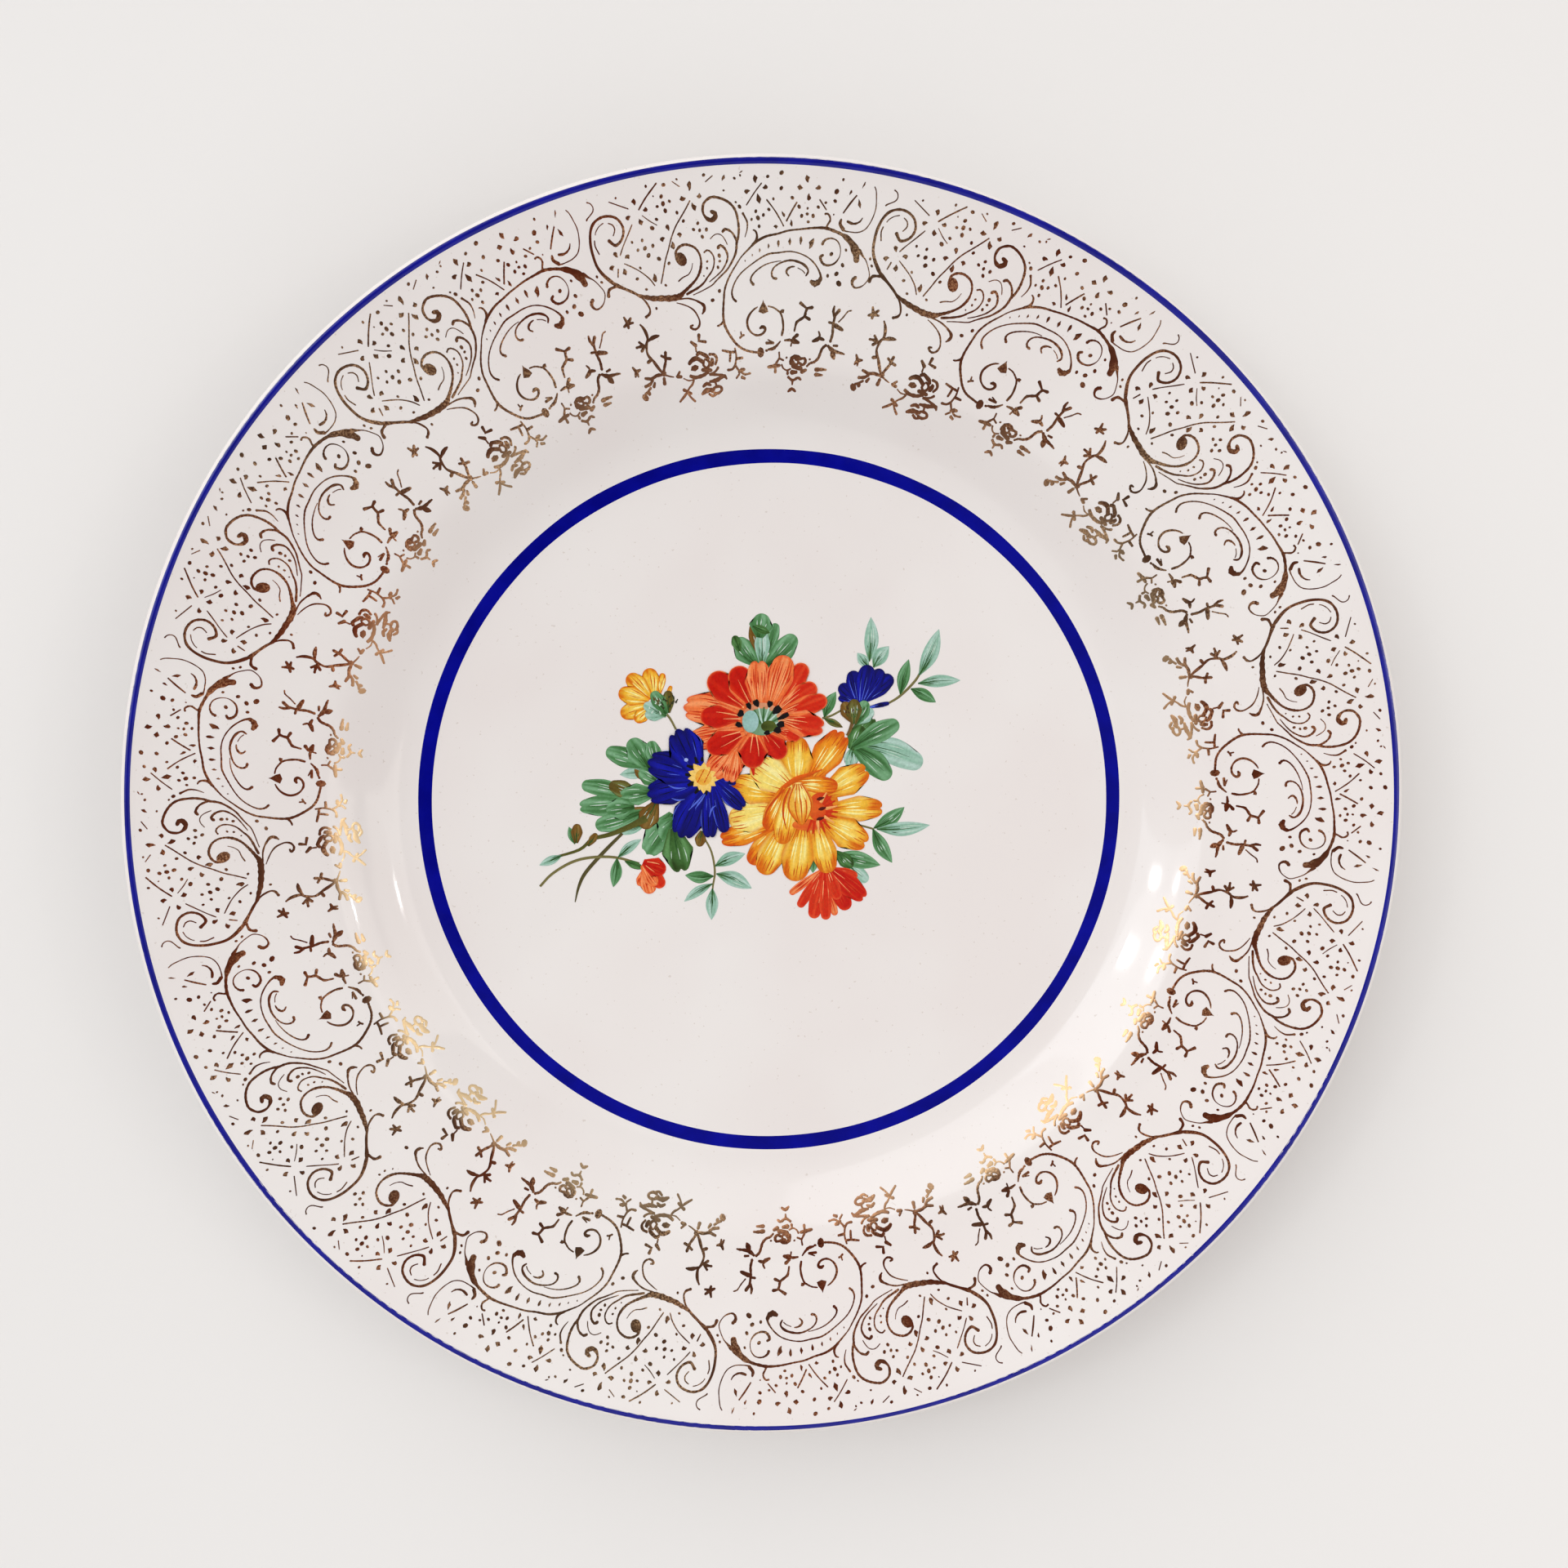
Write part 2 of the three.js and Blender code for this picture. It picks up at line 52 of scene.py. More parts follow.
# The plate's section, from the middle of the well out to the lip and back under to the middle.
TOP_SECTION = [(0, 7), (24, 7), (48, 7), (64, 7), (70, 7.02), (74, 7.4), (78, 8.6), (82, 10.9), (86, 13.5),
               (89, 15.15), (93, 16.4), (100, 18), (110, 20.3), (118, 22.15), (124, 23.65)]
LIP_SECTION = [(125.6, 24.15), (126.6, 23.95), (127, 23.2), (126, 21.6)]
UNDER_SECTION = [(119, 19.2), (112, 17.2), (98, 13.7), (91, 11.6), (84, 7.4), (78, 4.3), (74, 3.2),
                 (72, 2.85)]
FOOT_SECTION = [(71.4, 2.3), (71.1, 0.7), (70.4, 0.05), (69.6, 0), (68.2, 0), (67.4, 0.05), (66.7, 0.7),
                (66.2, 2.1), (64.8, 2.75), (60, 2.9), (40, 2.9), (20, 2.9), (0, 2.9)]
PLATE_SEGMENTS = 288
SECTION_STEPS = 4
WELL_FLOOR = 7.0

# The cobalt lines: their inner and outer radii, and how a band is built: its grid, the number of waves in its
# edges, how far its middle and edges lie above the glaze, and how far its underside reaches into it.
RIM_LINE = (125.1, 126.2)
WELL_RING = (70.4, 73.2)
BAND_SEGMENTS = 360
BAND_COLUMNS = 5
BAND_WAVES = 8
BAND_LIFT = 0.0192
BAND_EDGE_LIFT = 0.0036
BAND_SUNK = 0.05

# The transfer goes round in repeats. The eighth is cut short where the circle closes.
FULL_PITCH = 29.5
FULL_STARTS = [18.5 + FULL_PITCH * i for i in range(8)]
CLOSED_PITCH = 28.2
CLOSED_STARTS = [237.3 + CLOSED_PITCH * i for i in range(5)]
CUT_REPEAT = 7
CUT_END = 3.4
# How far it strays from its circle, and in how many waves to the turn.
TRANSFER_WAVER = ((0.06, 23), (0.03, 131))

# The gold: how far its edge lies above the glaze, how far its middle rises above that, at most and for each
# millimetre of width, how ragged its edges are, and how much fuller its small leaves and dots are laid.
GILT_LIFT = 0.012
GILT_RISE = 0.05
GILT_SLOPE = 0.09
GRAIN = 0.13
LEAF_SWELL = 1.5
DOT_SWELL = 1.15
# Each stroke is smoothed in steps of about this length, at most so many between two points, and ends in a cap
# of (how far out, how wide), in widths.
STROKE_STEP = 0.45
MOST_STEPS = 5
STROKE_CAP = ((0.28, 0.8), (0.46, 0.3))

# The enamel: how far its lowest coat lies above the glaze, what each coat adds, and what a fine mark adds, as
# a share of a coat.
ENAMEL_LIFT = 0.012
ENAMEL_STEP = 0.0015
MARK_STEP = 0.15

# A petal's grid of points, along and across it: for a large petal, and for a leaf or a bud's petal.
PETAL_GRID = (18, 19)
LEAF_GRID = (14, 15)

# The inputs and the output of a Mix node that belong to colours.
MIX_FACTOR, MIX_FIRST, MIX_SECOND, MIX_RESULT = 0, 6, 7, 2

# The camera: its frame and lens in millimetres, its two small turns away from straight down, and the middle
# of the rim as it sees it.
SENSOR = 36
LENS = 36
TURN_ABOUT_Y, TURN_ABOUT_X = math.radians(3.94), math.radians(3.98)
RIM_FROM_CAMERA = (-0.91, -5.44, -310.07)
RIM_HEIGHT = 24

FLOOR_SIZE = 40
FLOOR_GAP = 0.0001
AIM = Vector((0, 0, 0.02))

# The room by height, from the horizon at 0 to overhead at 1.
ROOM = (
    (0, (0.58, 0.57, 0.565, 1)),
    (0.12, (0.66, 0.65, 0.645, 1)),
    (0.5, (0.74, 0.73, 0.725, 1)),
    (0.9, (0.34, 0.33, 0.328, 1)),
    (1, (0.13, 0.125, 0.125, 1)),
)
ROOM_STRENGTH = 1.08

# Daylight from the upper left: its place, strength, width in degrees and colour.
KEY = ((-1.25, 1.5, 1.15), 1.22, 72, (0.98, 1, 1))
# Square lamps: name, place, size, power and colour. The last three are seen only as glints on the verge.
WHITE = (1, 1, 1)
LAMPS = (
    ("fill", (0.3, -0.3, 0.7), 0.9, 0.95, WHITE),
    ("window_left", (-0.74, 0.25, 1.05), 0.62, 1.5, (0.86, 0.95, 1)),
    ("window_right", (0.8, 0.12, 1.03), 0.62, 1.4, (1, 0.94, 0.86)),
    ("glint_left_near", (-0.883, 0.08, 0.951), 0.03, 0.12, WHITE),
    ("glint_left", (-0.813, 0.263, 0.982), 0.06, 0.34, WHITE),
    ("glint_right", (0.887, 0.082, 0.946), 0.04, 0.2, WHITE),
)


# ---------------------------------------------------------------- small helpers


def rgb(*display):
    """A display colour, 0 to 255, as the linear colour a shader takes."""
    shares = [c / 255 for c in display]
    return (*(c / 12.92 if c <= 0.04045 else ((c + 0.055) / 1.055) ** 2.4 for c in shares), 1)


def smoothstep(low, high, value):
    t = np.clip((value - low) / (high - low), 0, 1)
    return t * t * (3 - 2 * t)


def catmull(points, steps):
    """A smooth curve through the points, with that many steps between each two."""
    p = np.asarray(points, float)
    ends = np.vstack([2 * p[0] - p[1], p, 2 * p[-1] - p[-2]])
    out = []
    for i in range(1, len(ends) - 2):
        p0, p1, p2, p3 = ends[i - 1 : i + 3]
        for t in np.arange(steps) / steps:
            out.append(0.5 * (2 * p1 + (p2 - p0) * t + (2 * p0 - 5 * p1 + 4 * p2 - p3) * t**2
                              + (3 * p1 - p0 - 3 * p2 + p3) * t**3))
    out.append(ends[-2])
    return np.array(out)


UPPER_CURVE = catmull(TOP_SECTION + LIP_SECTION + UNDER_SECTION, SECTION_STEPS)
TOP_CURVE = UPPER_CURVE[: int(np.argmax(UPPER_CURVE[:, 0])) + 1]


def top_height(radius):
    """Height of the glaze on the upper side."""
    return np.interp(radius, TOP_CURVE[:, 0], TOP_CURVE[:, 1])


def make_piece(name, verts, faces, material, replaced, sharp=50):
    """A mesh piece on the plate's one body, from points in millimetres."""
    mesh = bpy.data.meshes.new(name)
    mesh.from_pydata((np.asarray(verts, float) * MM).tolist(), [], faces)
    mesh.validate()
    mesh.materials.append(material)
    mesh.shade_smooth()
    mesh.set_sharp_from_angle(angle=math.radians(sharp))
    piece = bpy.data.objects.new(name, mesh)
    bpy.context.scene.collection.objects.link(piece)
    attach(piece, BODY)
    if replaced:
        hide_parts(*replaced)
    return piece


# ---------------------------------------------------------------- materials


class Nodes:
    """A short way to build one material's node tree."""

    def __init__(self, name):
        self.material = bpy.data.materials.new(name)
        self.material.use_nodes = True
        self.tree = self.material.node_tree
        self.shader = self.tree.nodes["Principled BSDF"]
        self.place = self.add("ShaderNodeTexCoord").outputs["Object"]

    def add(self, kind, **settings):
        node = self.tree.nodes.new(kind)
        for key, value in settings.items():
            setattr(node, key, value)
        return node

    def feed(self, socket, value):
        """Gives a socket its value, which is an output or fixed."""
        if isinstance(value, bpy.types.NodeSocket):
            self.tree.links.new(value, socket)
        else:
            socket.default_value = value

    def set(self, **values):
        """Feeds the shader's own sockets."""
        for key, value in values.items():
            self.feed(self.shader.inputs[key.replace("_", " ")], value)

    def axes(self):
        """The X, Y and Z of the point."""
        split = self.add("ShaderNodeSeparateXYZ")
        self.feed(split.inputs["Vector"], self.place)
        return split.outputs

    def noise(self, scale, detail=2.0, rough=0.5):
        """Noise with that many waves to the metre."""
        node = self.add("ShaderNodeTexNoise")
        for key, value in (("Scale", scale), ("Detail", detail), ("Roughness", rough),
                           ("Vector", self.place)):
            self.feed(node.inputs[key], value)
        return node.outputs["Fac"]

    def span(self, value, from_low, from_high, to_low=0, to_high=1):
        """Maps one range of a value to another, and holds it at the ends."""
        node = self.add("ShaderNodeMapRange")
        ends = {"From Min": from_low, "From Max": from_high, "To Min": to_low, "To Max": to_high}
        for key, number in ends.items():
            node.inputs[key].default_value = number
        self.feed(node.inputs["Value"], value)
        return node.outputs["Result"]

    def mix(self, factor, first, second, blend="MIX"):
        """Mixes two colours, each a fixed colour or an output."""
        node = self.add("ShaderNodeMix", data_type="RGBA", blend_type=blend)
        for socket, value in ((MIX_FACTOR, factor), (MIX_FIRST, first), (MIX_SECOND, second)):
            self.feed(node.inputs[socket], value)
        return node.outputs[MIX_RESULT]

    def bump(self, height, strength, distance):
        node = self.add("ShaderNodeBump")
        for key, value in (("Strength", strength), ("Distance", distance), ("Height", height)):
            self.feed(node.inputs[key], value)
        self.set(Normal=node.outputs["Normal"])


def grey(level):
    """A roughness as the colour that a Mix node takes."""
    return (level, level, level, 1)


def porcelain():
    """Warm white glaze, gently uneven, with the foot ring's tread left bare."""
    n = Nodes("porcelain_glaze")
    body = n.mix(n.span(n.noise(28), 0.35, 0.65), rgb(239, 233, 230), rgb(236, 228, 225))
    specks = n.span(n.noise(1400, 1), 0.735, 0.77, 0, 0.35)
    glazed = n.mix(specks, body, rgb(190, 172, 158))
    bare = n.span(n.axes()["Z"], 0.0002, 0.0007, 1, 0)
    gloss = n.mix(n.noise(60), grey(0.05), grey(0.1))
    n.bump(n.noise(55, 1), 0.12, 0.0006)
    n.set(Base_Color=n.mix(bare, glazed, rgb(205, 190, 172)), Roughness=n.mix(bare, gloss, grey(0.7)),
          IOR=1.5)
    return n.material


def cobalt(name, index):
    """Blue, banded on by brush, so that it lies a little thinner in places. index says how glossy it is."""
    n = Nodes(name)
    load = n.span(n.noise(180, 3), 0.35, 0.7)
    n.bump(n.noise(700, 2), 0.15, 0.0001)
    n.set(Base_Color=n.mix(load, rgb(2, 4, 124), rgb(4, 8, 146)),
          Roughness=n.span(n.noise(90), 0.3, 0.7, 0.1, 0.2), IOR=index)
    return n.material


def gilt():
    """Bright gold, so thin that the brown of the print shows, with paler gold painted on the verge's lower
    sides as the lamps' reflection.
    """
    n = Nodes("bright_gilt")
    tone = n.span(n.noise(20, 2), 0.4, 0.6)
    gold = n.mix(tone, rgb(214, 172, 130), rgb(206, 140, 98))
    print_brown = n.mix(tone, rgb(98, 70, 52), rgb(112, 52, 32))
    # Paler gold, painted as the reflection of the lamps on the verge.
    painted_reflection = n.mix(tone, rgb(234, 207, 164), rgb(224, 186, 142))
    patches = n.span(n.noise(150, 2), 0.36, 0.6)
    grain = n.span(n.noise(2600, 3, 0.6), 0.38, 0.66)
    worn = n.mix(patches, n.mix(grain, gold, print_brown), print_brown)
    printed = n.mix(grain, worn, print_brown)
    # The painted reflection comes in below the verge's top, grows towards both sides and fades towards +Y.
    where = n.axes()
    aside = n.add("ShaderNodeMath", operation="ABSOLUTE")
    n.feed(aside.inputs[0], where["X"])
    bright = n.mix(n.span(where["Z"], 0.0158, 0.0146, 0, 0.85), printed, painted_reflection)
    sides = n.mix(n.span(aside.outputs["Value"], 0.03, 0.06, 0.25, 1), printed, bright)
    n.bump(n.noise(3000, 2), 0.2, 0.00004)
    n.set(Base_Color=n.mix(n.span(where["Y"], 0, 0.04, 0, 0.75), sides, printed),
          Roughness=n.span(n.noise(900, 2), 0.3, 0.7, 0.24, 0.42), Metallic=1)
    return n.material


def enamel(name):
    """Overglaze enamel: the painted colour of each point, broken by the stipple of the print."""
    n = Nodes(name)
    paint = n.add("ShaderNodeAttribute", attribute_name="paint").outputs["Color"]
    stipple = n.span(n.noise(1900, 3, 0.65), 0.3, 0.7, 0.86, 1.12)
    strength = n.add("ShaderNodeCombineColor")
    for channel in ("Red", "Green", "Blue"):
        n.feed(strength.inputs[channel], stipple)
    n.bump(n.noise(2400, 2), 0.15, 0.00005)
    n.set(Base_Color=n.mix(1, paint, strength.outputs["Color"], "MULTIPLY"),
          Roughness=n.span(n.noise(400), 0.3, 0.7, 0.22, 0.36), IOR=1.3)
    return n.material


# ---------------------------------------------------------------- the plate and its two cobalt lines


def lathe(section, segments):
    """Turns a closed section round Z. The section starts and ends on the axis."""
    ring = section[1:-1]
    turns = np.arange(segments) * 2 * math.pi / segments
    verts = [(r * math.cos(t), r * math.sin(t), z) for r, z in ring for t in turns]
    first = len(verts)
    verts += [(0, 0, section[0][1]), (0, 0, section[-1][1])]
    last_ring = (len(ring) - 1) * segments
    steps = [(k, (k + 1) % segments) for k in range(segments)]
    faces = [(i + k, i + segments + k, i + segments + j, i + j)
             for i in range(0, last_ring, segments) for k, j in steps]
    for k, j in steps:
        faces.append((first, k, j))
        faces.append((first + 1, last_ring + j, last_ring + k))
    return verts, faces


def plate_body(material):
    foot = catmull([UNDER_SECTION[-1]] + FOOT_SECTION, SECTION_STEPS)
    verts, faces = lathe([tuple(p) for p in (*UPPER_CURVE[:-1], *foot)], PLATE_SEGMENTS)
    return make_piece("china_body", verts, faces, material, ["plate_body"], 60)


def band(name, inner, outer, waver, lean, material, replaced, seed):
    """A banded line: a closed ring that follows the glaze, its two edges wavering as a brush does.

    lean widens it towards +Y and narrows it towards -Y.
    """
    rng = random.Random(seed)
    waves = [(rng.randint(2, 19), rng.uniform(0, 2 * math.pi), rng.uniform(0.3, 1))
             for _ in range(BAND_WAVES)]
    lifts = [BAND_EDGE_LIFT] + [BAND_LIFT] * (BAND_COLUMNS - 2) + [BAND_EDGE_LIFT] + [-BAND_SUNK] * 2
    verts = []
    for k in range(BAND_SEGMENTS):
        turn = 2 * math.pi * k / BAND_SEGMENTS
        stray = [sum(s * math.sin(f * turn + p + side) for f, p, s in waves) * waver / 4 for side in (0, 2)]
        low, high = inner + stray[0] - lean * math.sin(turn), outer + stray[1]
        radii = [low + (high - low) * i / (BAND_COLUMNS - 1) for i in range(BAND_COLUMNS)] + [high, low]
        for r, lift in zip(radii, lifts):
            verts.append((r * math.cos(turn), r * math.sin(turn), float(top_height(r)) + lift))
    loop = len(lifts)
    faces = []
    for k in range(BAND_SEGMENTS):
        j = (k + 1) % BAND_SEGMENTS
        for i in range(loop):
            m = (i + 1) % loop
            faces.append((k * loop + i, k * loop + m, j * loop + m, j * loop + i))
    return make_piece(name, verts, faces, material, replaced)


# ---------------------------------------------------------------- gilt: strokes and dots in (a, r)


def per_degree(radius):
    """Millimetres to one degree at that radius."""
    return np.asarray(radius) * math.pi / 180


class Print:
    """Closed shapes of the transfer, held as (a, r, lift) so that they can be laid round the rim."""

    def __init__(self, swell=1.0):
        self.swell = swell
        self.verts = []
        self.faces = []
        self.shapes = []

    def _done(self, first_vert, first_face):
        """Notes which points and faces make up the shape just drawn, and how far round it reaches."""
        reach = max(v[0] for v in self.verts[first_vert:])
        self.shapes.append((first_vert, len(self.verts), first_face, len(self.faces), reach))

    def stroke(self, points, width=0.4):
        """A brush stroke through (a, r) or (a, r, width) points, raised along its middle.

        Between the points that give a width it changes evenly. Where none does, width holds all along.
        """
        known = [i for i, p in enumerate(points) if len(p) == 3] or [0]
        widths = np.interp(range(len(points)), known, [(*points[i], width)[2] for i in known])
        path = np.array([(p[0], p[1], w * self.swell) for p, w in zip(points, widths)])
        flat = np.c_[path[:, 0] * per_degree(path[:, 1].mean()), path[:, 1]]
        length = np.linalg.norm(np.diff(flat, axis=0), axis=1).mean()
        steps = int(np.clip(math.ceil(length / STROKE_STEP), 1, MOST_STEPS))
        self._ribbon(self._rounded(catmull(path, steps) if len(path) > 2 else path))

    def _rounded(self, curve):
        """Adds a short rounded cap at both ends."""
        a, r, w = curve.T
        x = a * per_degree(r.mean())

        def cap(i, j):
            away = np.array([x[i] - x[j], r[i] - r[j]])
            away /= max(np.linalg.norm(away), 1e-6)
            return np.array([(a[i] + away[0] * w[i] * out / per_degree(r[i]), r[i] + away[1] * w[i] * out,
                              w[i] * wide) for out, wide in STROKE_CAP])

        return np.vstack([cap(0, 1)[::-1], curve, cap(-1, -2)])

    def _ribbon(self, curve):
        """Gives a curve its width, with a flat underside and a ridge along the middle."""
        a, r, w = curve.T
        scale = per_degree(r)
        along = np.gradient(a) * scale, np.gradient(r)
        size = np.maximum(np.hypot(*along), 1e-9)
        side = -along[1] / size, along[0] / size
        first_vert, first_face = len(self.verts), len(self.faces)
        w = w * (1 + GRAIN * np.sin(np.arange(len(a)) * 2.3 + r * 5))
        for i in range(len(a)):
            da, dr = side[0][i] * w[i] / 2 / scale[i], side[1][i] * w[i] / 2
            rise = min(GILT_RISE, GILT_SLOPE * w[i])
            self.verts.append((a[i] + da, r[i] + dr, GILT_LIFT))
            self.verts.append((a[i], r[i], GILT_LIFT + rise))
            self.verts.append((a[i] - da, r[i] - dr, GILT_LIFT))
        for i in range(len(a) - 1):
            p, q = first_vert + 3 * i, first_vert + 3 * i + 3
            self.faces += [(p, p + 1, q + 1, q), (p + 1, p + 2, q + 2, q + 1), (p + 2, p, q, q + 2)]
        end = first_vert + 3 * (len(a) - 1)
        self.faces += [(first_vert, first_vert + 2, first_vert + 1), (end, end + 1, end + 2)]
        self._done(first_vert, first_face)

    def blob(self, outline):
        """A closed (a, r) outline filled in gold, raised at its middle."""
        first_vert, first_face = len(self.verts), len(self.faces)
        outline = np.asarray(outline, float)
        middle = outline.mean(axis=0)
        spread = np.linalg.norm((outline - middle) * (per_degree(middle[1]), 1), axis=1).mean()
        self.verts += [(a, r, GILT_LIFT) for a, r in outline]
        self.verts.append((*middle, GILT_LIFT + min(GILT_RISE, 2 * GILT_SLOPE * spread)))
        count = len(outline)
        for i in range(count):
            self.faces.append((first_vert + count, first_vert + (i + 1) % count, first_vert + i))
        self.faces.append(tuple(range(first_vert, first_vert + count)))
        self._done(first_vert, first_face)

    def dot(self, a, r, radius, sides=8):
        turns = np.arange(sides) * 2 * math.pi / sides + a
        radii = radius * DOT_SWELL * (1 + GRAIN * np.sin(turns * 2 + r * 9))
        self.blob(np.c_[a + radii * np.sin(turns) / per_degree(r), r + radii * np.cos(turns)])

    def kite(self, a, r, length, width, heading, belly=0.6):
        """A little leaf, pointed at both ends. Heading is degrees clockwise from outwards."""
        turn = math.radians(heading)
        half = ((0, 0.12), (belly * 0.5, 0.62), (belly, 1), (belly + (1 - belly) * 0.6, 0.6), (1, 0.05))
        outline = [((along - 0.5) * length, across * width / 2) for along, across in half]
        outline += [(x, -y) for x, y in reversed(outline)]
        points = []
        for i, (x, y) in enumerate(outline):
            y *= 1 + 2 * GRAIN * math.sin(i * 2.1 + r * 7 + a)
            sideways = x * math.sin(turn) + y * math.cos(turn)
            outward = x * math.cos(turn) - y * math.sin(turn)
            points.append((a + sideways / per_degree(r), r + outward))
        self.blob(points)

    def lay(self, name, start, pitch, material, replaced, end, seed):
        """Lays the print on the rim as one piece. An end leaves out the shapes that reach past it."""
        verts, faces = [], []
        for v0, v1, f0, f1, reach in self.shapes:
            if end is not None and reach > end:
                continue
            move = len(verts) - v0
            verts += self.verts[v0:v1]
            faces += [tuple(i + move for i in face) for face in self.faces[f0:f1]]
        a, r, lift = np.array(verts).T
        turn = np.radians(start + a * pitch / FULL_PITCH)
        for stray, waves in TRANSFER_WAVER:
            r = r + stray * np.sin(turn * waves + seed)
        x, y = r * np.sin(turn), r * np.cos(turn)
        return make_piece(name, np.c_[x, y, top_height(r) + lift], faces, material, replaced)


def scroll_print():
    """The big double spiral and its branches."""
    p = Print()
    p.stroke([(-7.2, 115.3, .7), (-6.7, 114.2, .6), (-6, 114.8, .5), (-5.6, 116), (-5.55, 117.3),
              (-5.9, 118.7), (-6.6, 119.5), (-7.4, 119.65), (-8.2, 119), (-8.75, 117.6), (-9.1, 115.5),
              (-9.2, 113.5, .5), (-9.15, 111.5, .55), (-8.8, 109.8), (-8.2, 108.2), (-7.8, 107.4, .75),
              (-7, 106.3), (-6.2, 105.2, .5), (-5.6, 104.3), (-4.9, 103.8), (-4.2, 103.3, 1),
              (-3.2, 102.9, 1.1), (-2.2, 102.6, 1.2), (-1.2, 102.7, 1.1), (-.6, 103.3, .7), (.2, 104.2),
              (.9, 105.2, .45), (1.35, 106.2), (1.65, 107.4, .55), (1.75, 108.6, .4), (1.65, 109.8),
              (1.3, 110.9, .45), (.75, 111.5), (.2, 111.7, .5), (-.35, 111.4), (-.75, 110.7, .5),
              (-.85, 109.8, .5)])
    p.dot(-.35, 109.2, 1.05, 12)
    p.stroke([(-7.7, 107.2, .5), (-8.5, 107), (-8.8, 106.6), (-8.95, 105.8, .65)])
    p.stroke([(-5.6, 104.2, .35), (-5.2, 103.3), (-4.95, 102.3), (-4.85, 101.4, .4), (-5.05, 100.7),
              (-5.5, 100.3, .6)])
    p.stroke([(-1.5, 102.2, .3), (-.3, 102), (.5, 101.5, .35), (.9, 101.1), (1.3, 100.6), (1.45, 100, .7),
              (1.3, 99.3), (1.1, 98.9, .3)])
    p.stroke([(-1.65, 101.6, .2), (-1, 101.1), (-.3, 100.4, .3), (.2, 99.6), (.5, 98.6, .35), (.65, 97.6),
              (.5, 96.7), (.1, 96.2), (-.3, 96.3), (-.55, 96.8, .5), (-.25, 97, .4)])
    p.stroke([(-7.3, 118.6), (-7.8, 118.2), (-8.2, 117.5), (-8.35, 117)], .2)
    p.stroke([(-8.6, 116), (-8.7, 115), (-8.55, 113.5)], .25)
    p.stroke([(-6.8, 118.3), (-6.45, 117.8), (-6.35, 117), (-6.5, 116.4), (-6.65, 116)], .25)
    p.stroke([(-8.2, 122.8, .3), (-7.95, 122.5), (-7.8, 121.8, .2), (-7.9, 121.1), (-8.2, 120.6),
              (-8.6, 120.1), (-8.75, 119.8, .3)])
    p.stroke([(-1, 105.4, .3), (-.6, 105.8), (-.3, 106), (.2, 106.3), (.6, 107.2), (.8, 108.2, .15)])
    return p


def feather_print():
    """The fine lines that fan out to the right of the spiral. The cut repeat goes without them."""
    p = Print()
    p.stroke([(-.3, 102.8, .5), (.9, 103.6), (1.7, 104.4), (2.2, 105.3, .35), (2.8, 106.4), (3.1, 107.6, .3),
              (3.15, 108.9), (2.85, 109.9), (2.5, 110.2), (2.2, 109.9, .35)])
    p.stroke([(.4, 102.5, .2), (1.5, 103.1), (2.6, 103.8), (3.1, 104.5, .28), (3.8, 105.5), (4.5, 106.5),
              (5.1, 107.9), (5.5, 109.2), (5.65, 110.3, .5), (5.7, 111.2), (5.9, 112.2), (6, 113.5),
              (6, 114.5), (5.9, 116), (5.7, 117.2), (5.3, 118.2), (4.8, 118.9), (4.2, 119.4), (3.6, 119.6),
              (3.1, 119.2), (2.7, 118.5), (2.55, 117.5), (2.6, 116.6, .5), (2.9, 115.8, .7),
              (3.3, 115.5, .9), (3.7, 116, 1), (3.7, 116.7, .9), (3.4, 117, .7)])
    p.stroke([(2.4, 104.5, .2), (3.2, 105.4), (3.9, 106.4, .3), (4.4, 107.6), (4.65, 108.8, .4), (4.5, 110),
              (4.2, 110.7, .5), (3.9, 110.9), (3.7, 110.5, .6)])
    p.stroke([(5.75, 111.3, .55), (5.6, 112), (5.35, 112.9, .4), (5, 113.5), (4.6, 113.75),
              (4.35, 113.4, .6)])
    p.stroke([(3, 112.2), (3.4, 112.8), (3.8, 113), (4.2, 112.7), (4.5, 111.9), (4.7, 111)], .2)
    p.stroke([(6.5, 116.4, .5), (6.7, 115.7), (6.9, 114.8), (6.85, 113.5), (6.6, 112.2, .15)])
    return p


